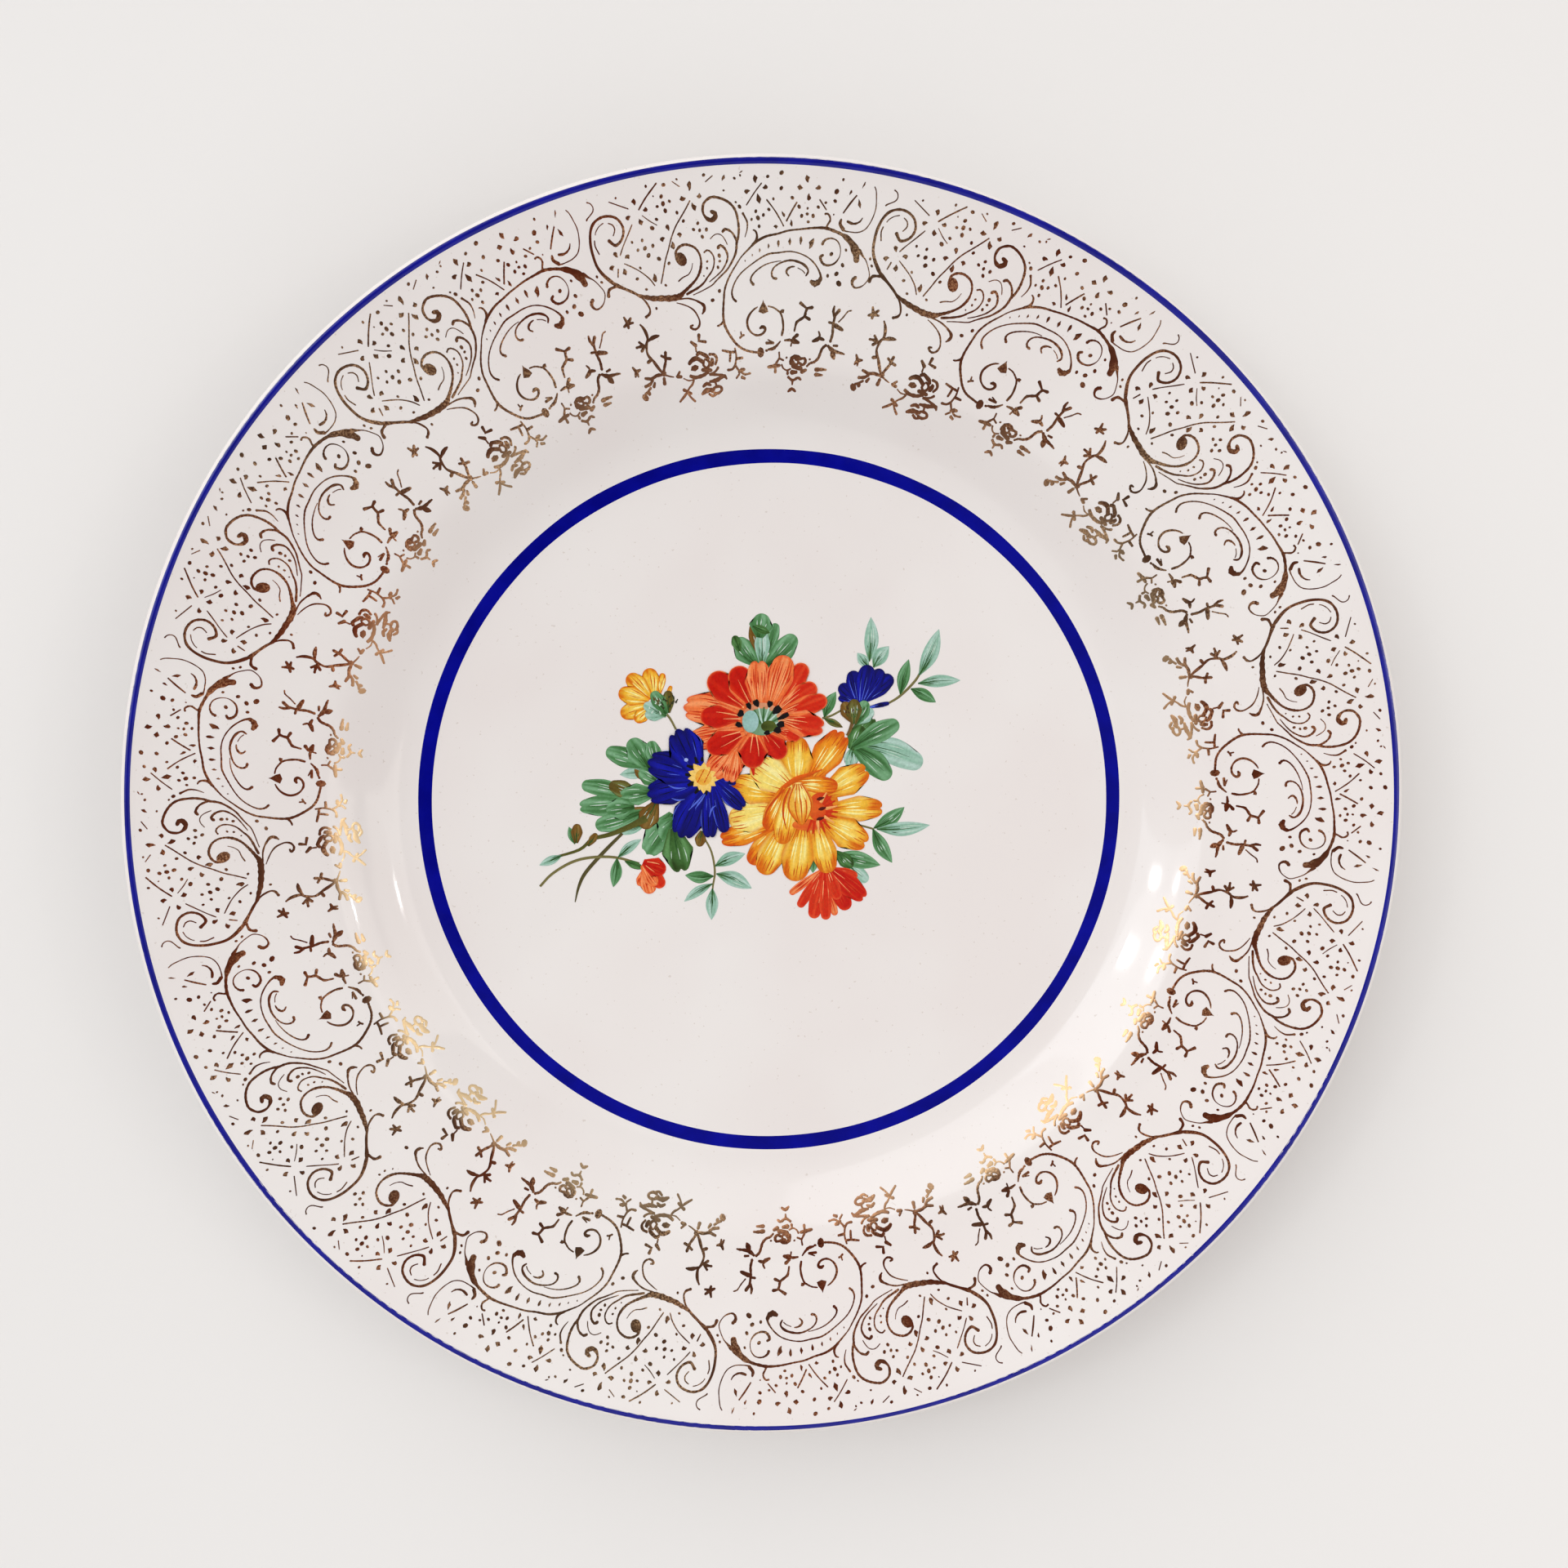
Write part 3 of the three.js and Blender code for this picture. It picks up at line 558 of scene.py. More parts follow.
def crest_print():
    """The tall loop between two spirals, with its graded beads, arcs and inner spiral."""
    p = Print()
    p.stroke([(7.7, 91, .45), (7.2, 91.1), (6.2, 91.4), (5.5, 91.9), (4.9, 92.7, .5), (4.4, 93.8),
              (3.9, 95.2), (3.6, 96.6, .55), (3.55, 98), (3.65, 99.5, .45), (3.8, 101), (4, 102.8, .4),
              (4.4, 104.4), (4.9, 105.8, .35), (5.5, 107.2), (6.1, 108.6, .25), (6.8, 109.8, .35),
              (7.5, 110.9), (8.2, 111.7, .5), (9, 112.3), (10, 112.7, .4), (11, 113.2), (12, 113.5, .35),
              (13, 113.8), (14, 114, .45), (15, 114.1, .6), (15.8, 113.8), (16.5, 113.4, .6),
              (17.3, 112.7, 1.1), (18, 111.6, 1.5), (18.4, 110.4, 1.6), (18.55, 109.2, 1.2)])
    p.stroke([(15, 114.2), (15.1, 114.8), (15.3, 115.5), (15.25, 116.2), (15, 116.7), (14.75, 116.6)])
    p.stroke([(7.4, 110.8, .6), (7.8, 111.6), (7.85, 112.6), (7.7, 113.2), (7.5, 113.4, .3)])
    p.stroke([(3.5, 97, .5), (3.3, 96.7), (3, 96.4), (2.75, 96.3, .35)])
    p.stroke([(18.7, 111, .7), (19.1, 110.2), (19.6, 109.3, .25), (20, 108), (20.25, 106.8, .2),
              (20.15, 105.9), (19.8, 104.9, .25), (19.3, 104.3), (18.8, 104.2, .4), (18.5, 104.8),
              (18.5, 105.5, .7), (18.75, 106, .7)])
    p.blob([(7.5, 91), (7.65, 91.7), (7.95, 92), (8.3, 91.7), (8.45, 91), (8.3, 90.3), (7.95, 90),
            (7.65, 90.3)])
    p.dot(8.75, 91.3, .25)
    p.stroke([(9, 91.5, .45), (9.6, 91.7, .65), (10.1, 92.3), (10.5, 93, .3)])
    p.stroke([(10.7, 94.2, .5), (10.85, 95.5), (10.75, 97), (10.5, 98.2), (10.1, 98.8), (9.6, 99.3),
              (9, 99.5, .3)])
    p.kite(10.65, 98.6, 1.1, .8, 60)
    p.blob([(7.8, 98.5), (8, 99.3), (8.3, 100.2), (8.4, 100.7), (8.5, 100.2), (8.85, 99.3), (9, 98.5),
            (8.4, 98.1)])
    p.stroke([(7.7, 99.4, .25), (7.2, 98.9), (6.7, 98, .5), (6.4, 96.8), (6.5, 95.6), (6.9, 94.7, .4),
              (7.5, 94.2), (8.1, 94.3), (8.5, 94.8, .5), (8.6, 95.4), (8.3, 95.7, .7), (8, 95.5, .5)])
    p.stroke([(5.2, 100.6, .5), (4.9, 101.2), (4.8, 102.2), (5, 103.3, .3), (5.4, 104.5), (6, 105.7),
              (6.8, 106.8, .25), (7.6, 107.7), (8.4, 108.5), (9.2, 109.1, .35), (10.2, 109.3), (11.3, 109.5),
              (12.3, 109.3, .25), (13.1, 108.8), (13.8, 108, .3), (14.4, 106.9), (14.8, 105.8, .4),
              (14.9, 105), (14.7, 104.3, 1), (14.3, 103.9, 1.2), (13.9, 104.2, .8)])
    p.stroke([(7.3, 103.6, .6), (7.05, 104.2), (7.1, 104.9, .35), (7.4, 105.6), (7.9, 106.3, .3), (8.6, 107),
              (9.2, 107.4), (9.9, 107.7), (10.4, 107.8, .15)])
    p.stroke([(9.9, 104.6, .55), (9.6, 104.7), (9.4, 105.3, .4), (9.5, 106.2), (9.9, 107, .3), (10.6, 107.6),
              (11.4, 107.9, .4), (12.1, 107.8), (12.8, 107.4, .5), (13.3, 106.7), (13.45, 106, .4),
              (13.25, 105.3, .35)])
    p.stroke([(11.3, 105.1, .3), (11.05, 105.6), (11.1, 106.2, .5), (11.5, 106.7), (11.9, 106.8, .25)])
    p.stroke([(12.3, 106.6), (12.8, 106.2), (13.1, 105.7)], .2)
    for a, r, length, width in ((6.5, 107.9, .4, .3), (7.3, 108.9, .5, .3), (8.1, 109.7, .8, .4),
                                (9.05, 110.45, .95, .45), (10.1, 110.95, 1.3, .65), (11.3, 111.3, 1.4, .6),
                                (12.45, 111.6, 1.6, .7)):
        p.kite(a, r, length, width, 0, .5)
    p.kite(13.6, 111.15, 2.1, 1, 22, .5)
    p.stroke([(14.75, 111.2, .6), (14.9, 111.8), (15.3, 112.3, .35), (15.8, 112.4), (16.3, 112, .25),
              (16.65, 111), (16.75, 109.8, .2), (16.6, 108.8), (16.2, 107.9, .35), (15.6, 107.5),
              (15.1, 107.6, .5), (14.8, 108.1), (14.65, 108.8, .6), (14.9, 109.2, .5)])
    for a, r, radius in ((15.8, 109.6, .35), (17.3, 110.6, .25), (17.15, 107.8, .35), (15.65, 105.6, .3),
                         (16.6, 106.1, .4), (17, 104.4, .5), (20, 109.8, .25), (20.3, 108.6, .25)):
        p.dot(a, r, radius)
    return p


def lattice_print():
    """The diaper ground at the lip: crossing lines, four-petalled sprigs and scattered dots."""
    p = Print(1.15)
    for line, width in (
        ([(-6.2, 121.8), (-4.6, 119.9)], .22), ([(-3.6, 119.3), (-2.7, 121.1), (-1.5, 123.2)], .28),
        ([(-4.6, 117), (-5.2, 115.5), (-6, 113.6), (-6.5, 112.3)], .22),
        ([(-3.4, 118.1), (-2.8, 116.9), (-2.2, 116)], .18), ([(-7.1, 110), (-7.35, 108.7)], .25),
        ([(-6.3, 110.6), (-5.5, 109.5), (-4.8, 108.4), (-4.1, 106.9), (-3.7, 105.5)], .22),
        ([(-2.95, 105.6), (-2.5, 107.4), (-2, 109.6), (-1.5, 111.3), (-1, 113.2), (-.4, 115), (.3, 116.6),
          (.9, 118), (1.4, 119.3)], .25), ([(0, 123), (.6, 122)], .18), ([(3.1, 122.3), (3.8, 123.3)], .18),
        ([(6.9, 117.9), (7.7, 120), (8.4, 121.6)], .22),
        ([(8.9, 118.7), (9.6, 117.1), (10.1, 115.7), (10.6, 114.1)], .25),
        ([(10.9, 115), (11.4, 116.8), (11.85, 118.3)], .3), ([(14.1, 119), (14.8, 117.4)], .25),
        ([(17.6, 120.5), (17.1, 119), (16.55, 117.2)], .3),
    ):
        p.stroke(line, width)
    p.stroke([(16.4, 115.9, .4), (16.35, 115.1), (16.7, 114.3, .7), (16.9, 114, .3), (17.4, 113.95, .2),
              (18.2, 114.1), (18.9, 114.8), (19.3, 116), (19.55, 117.5), (19.65, 119), (19.55, 120.5),
              (19.4, 121.9), (19.2, 122.6, .2)])
    p.stroke([(17.1, 115.7, .5), (17.5, 115.5), (17.9, 115.6), (18.3, 116.1), (18.5, 116.8, .2)])
    # Each sprig: its centre, and its petals of (a, r, length), which point away from it.
    sprigs = (
        ((-3.9, 119), ((-3.9, 120.8, 1.2), (-4.8, 118.4, 1.1), (-3.7, 117.1, 1.2), (-3, 119, 1))),
        ((-6.6, 111.2), ((-6.95, 112.6, 1.2), (-7.7, 110.6, 1.2), (-6.5, 109.2, 1.3), (-5.85, 111.7, 1.1))),
        ((-1, 113.8), ((-1.15, 115.2, 1.2), (-1.9, 113.4, 1.1), (-.1, 113.6, 1), (-.95, 111.9, 1.5))),
        ((1.4, 120), ((1.55, 121.9, 1.8), (.75, 119.8, 1.3), (2.35, 119.9, 1), (1.7, 118.2, 1.6))),
        ((7.9, 120.6), ((7, 120.3, 1.2), (7.8, 122.4, 1.5), (8.75, 120.9, 1.1), (8.1, 118.9, 1.9))),
        ((13, 120.8), ((12.1, 121, 1.2), (13.85, 121.1, 1.2), (13, 119.4, 1.3), (12.75, 122.6, 1.4))),
    )
    for (ca, cr), petals in sprigs:
        for a, r, length in petals:
            heading = math.degrees(math.atan2((a - ca) * per_degree(cr), r - cr))
            p.kite(a, r, length, .62 * LEAF_SWELL, heading)
    for a, r, length, width, heading in (
        (-3.5, 106.8, 1.6, 1, 180), (4.8, 122.8, 1.2, .6, 30), (10.55, 116.2, 1.2, .6, 150),
        (11.4, 114.6, 1.3, .6, 170), (9.8, 114, .9, .7, 90), (17, 120.9, 1, .5, 20),
        (18, 119.2, 1.7, .6, 160), (18.15, 122.6, 1.4, .35, 20), (6.5, 123.7, .9, .25, 60),
    ):
        p.kite(a, r, length, width, heading)
    for a, r, radius in (
        (-2.5, 123, .25), (-.85, 122.7, .35), (-2, 121.1, .15), (-1.25, 120.8, .35), (-.55, 119.7, .28),
        (-1.2, 119.5, .4), (-1.8, 119.2, .28), (-1.1, 118.2, .38), (0, 117.5, .3), (-2.1, 117, .3),
        (-2.7, 115.6, .4), (.5, 115.9, .3), (1.9, 115.2, .3), (1.4, 114.2, .3), (2, 113.9, .3),
        (2.7, 113.9, .33), (2.2, 112.7, .33), (-5, 114, .25), (-3.95, 113.9, .28), (-4.6, 112.4, .28),
        (-3.85, 112.4, .38), (-3, 112.5, .33), (-3.65, 111, .4), (-2.65, 110, .38), (-1.7, 108.9, .3),
        (-4.8, 109.2, .25), (-5.4, 107.4, .3), (-4.7, 105.2, .25), (-2.5, 105.1, .25), (-4.1, 101.4, .25),
        (2.4, 108.2, .22), (2.3, 107, .22), (3.75, 109.1, .35), (3.75, 108.1, .25), (3.5, 107, .28),
        (1.85, 105.7, .15), (3.4, 102.7, .33), (2.5, 101.1, .35), (-5.5, 122.2, .2), (.45, 123.3, .2),
        (3, 123.5, .3), (5.85, 122.6, .25), (6.4, 123.1, .2), (6.2, 117.6, .35), (7.8, 116.7, .3),
        (8.55, 116, .3), (8, 115.5, .4), (7.35, 115.3, .25), (8.1, 114, .3), (9.1, 117, .3),
        (9.55, 118.9, .25), (5.85, 118.4, .2), (4.75, 120.6, .2), (10.3, 123.5, .4), (9, 122.8, .3),
        (10.3, 120.8, .35), (11.4, 119.1, .33), (12.1, 117.6, .35), (12.4, 116, .33), (12.95, 116.4, .28),
        (12.95, 117.4, .22), (13.55, 116.1, .35), (13.1, 115, .28), (14, 117.7, .3), (14.7, 118.6, .25),
        (15.65, 120.8, .45), (15.6, 119.1, .33), (16.15, 123, .25), (15.6, 116.7, .15),
    ):
        p.dot(a, r, radius, 7)
    return p


def garland_print():
    """The sprigs and roses that hang inside the scrolls."""
    p = Print(1.4)
    for a, r in ((-8, 101.3), (-7.3, 100.9), (-7.2, 100), (-7.85, 99.3), (-8.3, 99.7)):
        p.stroke([(-7.8, 100.1, .5), (a, r, .35)])
    p.stroke([(-6.4, 99.2, .3), (-6.15, 98.4), (-6, 97.4, .45), (-6, 96.3), (-6.3, 95.5), (-6.45, 94.6, .35),
              (-6.5, 93.7), (-6.3, 92.8), (-6.05, 92.2, .4), (-5.8, 91.3), (-5.5, 90.3), (-5.15, 89.4, .45)])
    for stroke in (
        [(-6, 96, .35), (-5.2, 96.4, .6), (-4.6, 96.45, .3)],
        [(-6.6, 95.2, .5), (-7.1, 95.4), (-7.6, 95.4, .35)], [(-6.6, 95.2), (-7.1, 96.2)],
        [(-6.6, 95.2), (-7.1, 94.5)], [(-6.2, 92.5, .4), (-6.7, 92.2, .5)],
        [(-5.1, 89.5), (-4.9, 90.3), (-4.5, 91.5), (-4.4, 92.3)], [(-4.4, 92.2), (-4.85, 92.7)],
        [(-4.4, 92.2), (-4.25, 93.2)], [(-4.4, 92.1), (-3.8, 91.8)], [(-5.2, 88.6, .4), (-5.3, 87.7, .6)],
        [(-5.4, 89.3, .4), (-6.1, 89.4, .5), (-6.8, 89.1), (-7.2, 89.3), (-7.6, 89.5, .4)],
        [(-6.8, 88.8, .45), (-7.2, 88.3), (-7.9, 88.1, .45)], [(-6.6, 88.2, .4), (-6.8, 87.7, .5)],
        [(-7.3, 87.6, .35), (-7.8, 87.1), (-8.2, 86.8, .35)],
        [(-8.8, 92, .35), (-8.5, 91.2, .5), (-8, 91.3, .35)],
        [(-8.8, 90.3, .3), (-8.5, 91.2, .5), (-8.45, 90.2, .3)],
        [(-4.9, 89.1, .3), (-4.4, 88.7), (-3.9, 88.4, .15)], [(-3.4, 88.3, .5), (-2.9, 88.1, .4)],
        [(-3.3, 88.5, .35), (-3, 89, .35)], [(-2.6, 87.7), (-2, 87.2), (-1.3, 87.2, .2)],
        [(-1.3, 87.1, .3), (-1.6, 86.4), (-2, 86), (-2.4, 85.4, .3)], [(-2.4, 85.4, .3), (-2.9, 85.7, .45)],
        [(-2.4, 85.4, .3), (-2, 84.9, .45)], [(-2.5, 85.3, .35), (-2.9, 84.7), (-3.7, 83.9, .35)],
        [(-2.4, 85, .35), (-2.1, 84.2), (-1.6, 83.4, .3)],
        [(-.3, 91.5, .5), (0, 91.8), (.5, 91.4, .6), (.9, 91), (1.1, 90.6, .4)],
        [(-1.5, 90.2, .5), (-1.2, 90.6), (-.6, 90.9, .7), (-.1, 90.5), (.3, 90, .5)],
        [(.4, 90.2, .4), (.3, 89.4), (.7, 88.9), (1.1, 89.4), (1, 90.2, .4), (.6, 90.5, .3)],
        [(1.3, 91.3), (1.8, 91.2), (2.1, 90.7), (2.15, 90.1), (1.9, 89.4)],
        [(-1.6, 87.9, .5), (-1, 87.5), (0, 87.6, .5), (.8, 88.1, .4)], [(.1, 88.6, .5), (1.2, 88.4, .5)],
        [(2.2, 88.7), (1.9, 88.2), (1.4, 87.8), (1, 87.7, .35)],
        [(1, 87.6, .3), (1.8, 87.5), (2.6, 87.2), (3, 87, .5), (3.2, 86.6, .3)],
        [(-.1, 85.7, .4), (.4, 86.1, .5), (.9, 85.8, .35)],
        [(-.4, 84.4, .4), (.3, 84.9, .7), (1.3, 84.9, .4)],
        [(1, 84.6), (1.5, 85.3), (2.2, 85.3), (2.4, 84.7), (1.9, 84.2), (1.3, 84.3)],
        [(.6, 84.2, .4), (1.1, 83.8), (1.7, 84.2, .3)], [(1.6, 86.3, .3), (1.7, 85.5, .3)],
        [(.9, 86.4, .35), (1.8, 86.5, .6), (2.4, 86.8), (3, 87.1, .35)], [(-.8, 94, .4), (-.3, 93.2, .5)],
        [(-.35, 92.8), (-.35, 92.1, .25)], [(.3, 95.1, .45), (.2, 94.2), (.1, 93.9, .2)],
        [(.2, 93.95, .3), (.95, 93.7, .5)], [(3.05, 91.7, .35), (3.9, 91.4), (4.6, 91.3, .35)],
        [(4, 91.4), (3.95, 90.5), (3.85, 89.7, .35)],
        [(4.65, 91.9), (4.75, 90.5), (4.6, 89.3), (4.5, 88.8, .3)], [(4.8, 90.05), (5.5, 90.1)],
        [(4.5, 88.8), (4.1, 88.2), (3.5, 88.1, .35)],
        [(4.6, 88.7), (4.9, 88), (5.3, 87.5), (5.8, 87.1), (6.5, 87.3, .3)],
        [(5, 87.6, .4), (5.4, 87.9, .6), (5.7, 88, .4)], [(4.6, 86.6), (5, 87.2, .3)],
        [(5.4, 86.6, .5), (5.7, 86.4, .4)], [(5.4, 93.8), (5.7, 94.2), (5.9, 94.3, .3)],
        [(5.55, 94.9, .2), (5.6, 94.2, .25)], [(8.75, 92.7), (9.6, 92.75)],
        [(8.95, 93.3, .2), (9.5, 92.9, .25)], [(11.1, 93.2, .3), (11.75, 93.3, .4)],
        [(11.95, 93.2, .5), (12.4, 93.1, .8), (12.85, 92.9, .4)], [(12.1, 93.6, .3), (12.65, 94.3, .5)],
        [(12, 92.9, .25), (11.9, 92.2, .25)],
        [(12.25, 95, .25), (12.35, 95.9), (12.5, 96.7, .4), (13, 97.3), (13.4, 97.8), (13.5, 98.6),
         (13.65, 99.3, .4)], [(13.4, 97.8, .35), (14, 97.3, .5)], [(13.6, 99.3, .35), (14.25, 99.5, .45)],
        [(13.5, 99.4, .35), (12.85, 100.2, .55)], [(16.9, 93.6), (17.05, 95), (16.98, 96.5), (17.05, 98.3)],
        [(17, 98.4, .5), (16.8, 99.2), (16.85, 100.1, .3)], [(17.05, 98.5, .4), (17.5, 99.6, .45)],
        [(17, 96.8, .4), (17.5, 96.5, .7), (18.2, 96.1, .4)], [(17, 97, .35), (16.45, 97.1, .35)],
        [(17.6, 97.4, .2), (18.1, 98.5), (18.5, 99.6), (18.9, 99.9, .22)],
        [(14.7, 93.3, .4), (15.2, 93.7, .6), (15.5, 94), (16, 93.8, .4)],
        [(15.35, 94, .4), (15.5, 94.5), (15.3, 95.2, .25)],
        [(14.2, 88.6, .3), (14.6, 89.2), (15.1, 89.5), (15.6, 90.3, .4), (15.8, 91.3), (16, 92.2),
         (16.4, 92.8, .4)],
        [(16.7, 92.7, .4), (17.1, 92.2, .6), (17.7, 91.9), (18.5, 91.8), (18.9, 91.7, .25)],
        [(17.3, 92, .5), (17.45, 91.2, .8), (17.65, 90.6, .4)], [(17.4, 92.9, .35), (17.85, 93, .35)],
        [(15.5, 88.2, .6), (16.2, 88.3), (16.8, 88.3, .3)], [(15.5, 87.3, .5), (16.4, 87.3, .3)],
        [(12, 89, .5), (12.1, 89.9), (12.7, 90.3, .6), (13.3, 89.9, .4)],
        [(12.3, 88.6, .6), (12.8, 88.3), (13.4, 88.2, .6)],
        [(13.2, 89.9), (13.8, 90), (13.95, 89.3), (13.6, 88.8), (13.2, 89.1)],
        [(12.2, 87.4, .6), (12.8, 87.5, .5)], [(13.6, 87.6, .6), (14.1, 87.9, .4)],
        [(12.3, 89.4, .4), (12.5, 88.9), (12.9, 88.9), (13, 89.5), (12.6, 89.8, .35)],
        [(9, 88.3, .4), (9.8, 88.5, .55), (10.5, 88.6, .4)],
        [(10, 88.9, .35), (10.3, 89.6), (10.45, 90), (10.4, 91, .25)], [(10.45, 89.9), (11, 89.5, .25)],
        [(9.95, 88.1, .4), (9.95, 87.5, .5)], [(10.8, 88.7), (11, 88.1), (11.5, 87.7), (12, 88, .25)],
        [(11.65, 87.5, .3), (11.65, 87.1, .4)],
        [(11.8, 86.5, .4), (12.4, 86), (13.1, 86.5), (13.5, 86.2, .35)],
        [(12.4, 86, .35), (12.4, 85.3, .25)], [(11.9, 84, .3), (12.4, 84.5, .5), (12.9, 84.1, .3)],
    ):
        p.stroke(stroke)
    p.blob([(-1.5, 88.9), (-1.3, 89.6), (-.8, 89.8), (-.35, 89.4), (-.45, 88.9), (-.9, 88.6)])
    p.blob([(1.25, 89), (1.2, 89.9), (1.4, 90.7), (1.75, 90.5), (1.8, 89.8), (1.6, 89.1)])
    for a, r, radius in ((-5.05, 89.4, .45), (-8.35, 86.2, .6), (-7.7, 86.8, .4), (-8.5, 91.2, .4),
                         (14.5, 89.9, .2), (11.4, 90, .2)):
        p.dot(a, r, radius)
    return p


def gilt_border(material):
    """Lays every repeat: a scroll and a crest piece, and the lattice and garland of the same transfer."""
    scroll, feather, crest = scroll_print(), feather_print(), crest_print()
    lattice, garland = lattice_print(), garland_print()
    repeats = [(s, FULL_PITCH) for s in FULL_STARTS] + [(s, CLOSED_PITCH) for s in CLOSED_STARTS]
    for i, (start, pitch) in enumerate(repeats):
        number = f"{i + 1:02d}"
        cut = i == CUT_REPEAT
        end = CUT_END if cut else None
        scroll.lay(f"gold_scroll_{number}", start, pitch, material, [f"gilt_scroll_{number}"], end, i)
        lattice.lay(f"gold_lattice_{number}", start, pitch, material, [], end, i)
        garland.lay(f"gold_garland_{number}", start, pitch, material, [], end, i)
        if not cut:
            feather.lay(f"gold_feather_{number}", start, pitch, material, [], end, i)
            crest.lay(f"gold_crest_{number}", start, pitch, material, [f"gilt_crest_{number}"], end, i)


# ---------------------------------------------------------------- enamel: petals, leaves and stems


# Each piece: the CAD node it stands for, its slot, how high its lowest coat lies, in steps of ENAMEL_STEP,
# and the seed of its brushwork.
ENAMEL_PIECES = {
    "leaves_top": ("top_leaves", "green_enamel", 0, 11),
    "leaves_upper_left": ("upper_left_leaves", "green_enamel", 0, 12),
    "leaves_left": ("left_leaves", "green_enamel", 0, 13),
    "leaves_lower_left": ("lower_left_leaves", "green_enamel", 0, 14),
    "sprig_lower": ("lower_sprig", "pale_green_enamel", 0, 15),
    "leaves_right": ("right_leaves", "green_enamel", 0, 16),
    "leaves_bud_top": ("bud_top_leaves", "pale_green_enamel", 0, 17),
    "sprig_far_right": ("far_right_sprig", "pale_green_enamel", 0, 18),
    "leaf_bud_side": ("bud_side_leaf", "green_enamel", 0, 19),
    "sprig_right_lower": ("right_lower_sprig", "pale_green_enamel", 0, 20),
    "leaves_lower_right": ("lower_right_leaves", "green_enamel", 0, 21),
    "stems_left": ("left_stems", "brown_enamel", 20, 22),
    "flower_red": ("red_flower", "red_enamel", 92, 31),
    "flower_red_front": (None, "red_enamel", 200, 46),
    "flower_red_centre": ("red_flower_centre", "pale_green_enamel", 226, 32),
    "flower_blue": ("blue_flower", "blue_enamel", 160, 33),
    "flower_blue_centre": ("blue_flower_centre", "yellow_enamel", 190, 34),
    "flower_yellow": ("yellow_flower", "yellow_enamel", 24, 35),
    "flower_yellow_centre": ("yellow_flower_centre", "red_enamel", 92, 36),
    "bud_yellow": ("yellow_bud", "yellow_enamel", 14, 41),
    "bud_yellow_calyx": ("yellow_bud_calyx", "green_enamel", 44, 42),
    "bud_blue": ("blue_bud", "blue_enamel", 44, 43),
    "bud_blue_calyx": ("blue_bud_calyx", "brown_enamel", 84, 44),
    "bud_red_left": ("left_red_bud", "red_enamel", 44, 45),
    "bud_red_lower": ("lower_red_bud", "red_enamel", 16, 46),
}


class Petal:
    """The outline of a petal or leaf, as a map from u, 0 at its root to 1 at its tip, and v, -1 to 1 across.

    root and blunt are its width at the root and the tip as shares of the widest, which lies at belly.
    """

    def __init__(self, base, tip, width, belly=0.7, blunt=0.8, root=0.4, bend=0.0, lobes=0):
        self.base, self.tip = np.array(base, float), np.array(tip, float)
        self.length = np.linalg.norm(self.tip - self.base)
        self.ahead = (self.tip - self.base) / self.length
        self.side = np.array([-self.ahead[1], self.ahead[0]])
        self.width, self.belly, self.blunt, self.root = width, belly, blunt, root
        self.bend, self.lobes = bend, lobes
        self.crown = min(blunt * width / 2, 0.4 * self.length)

    def half(self, u):
        """Half of the width at u."""
        grow = self.root + (1 - self.root) * np.sin(math.pi / 2 * np.minimum(u / self.belly, 1)) ** 1.1
        close = np.clip((u - self.belly) / (1 - self.belly), 0, 1) ** 2
        return self.width / 2 * grow * (1 - (1 - self.blunt) * close)

    def at(self, u, v):
        """The (x, y) of a point, with the tip rounded and cleft between its lobes."""
        u, v = np.asarray(u, float), np.asarray(v, float)
        late = smoothstep(0.35, 1, u)
        along = u * self.length - self.crown * (1 - np.sqrt(np.maximum(1 - v**2, 0))) * late
        if self.lobes:
            cleft = 1 - np.abs(np.sin(math.pi * self.lobes * (v + 1) / 2)) ** 0.6
            along = along - 0.12 * self.width * cleft * late
        across = v * self.half(u) + self.bend * np.sin(math.pi * u)
        return self.base + along[..., None] * self.ahead + across[..., None] * self.side

    def inside(self, start, share):
        """A smaller outline within this one, for a second coat that stops just short of the tip."""
        base = self.base + (self.tip - self.base) * start
        tip = self.base + (self.tip - self.base) * 0.985
        return Petal(base, tip, self.width * share, self.belly, self.blunt, min(self.root, 0.3), self.bend,
                     self.lobes)


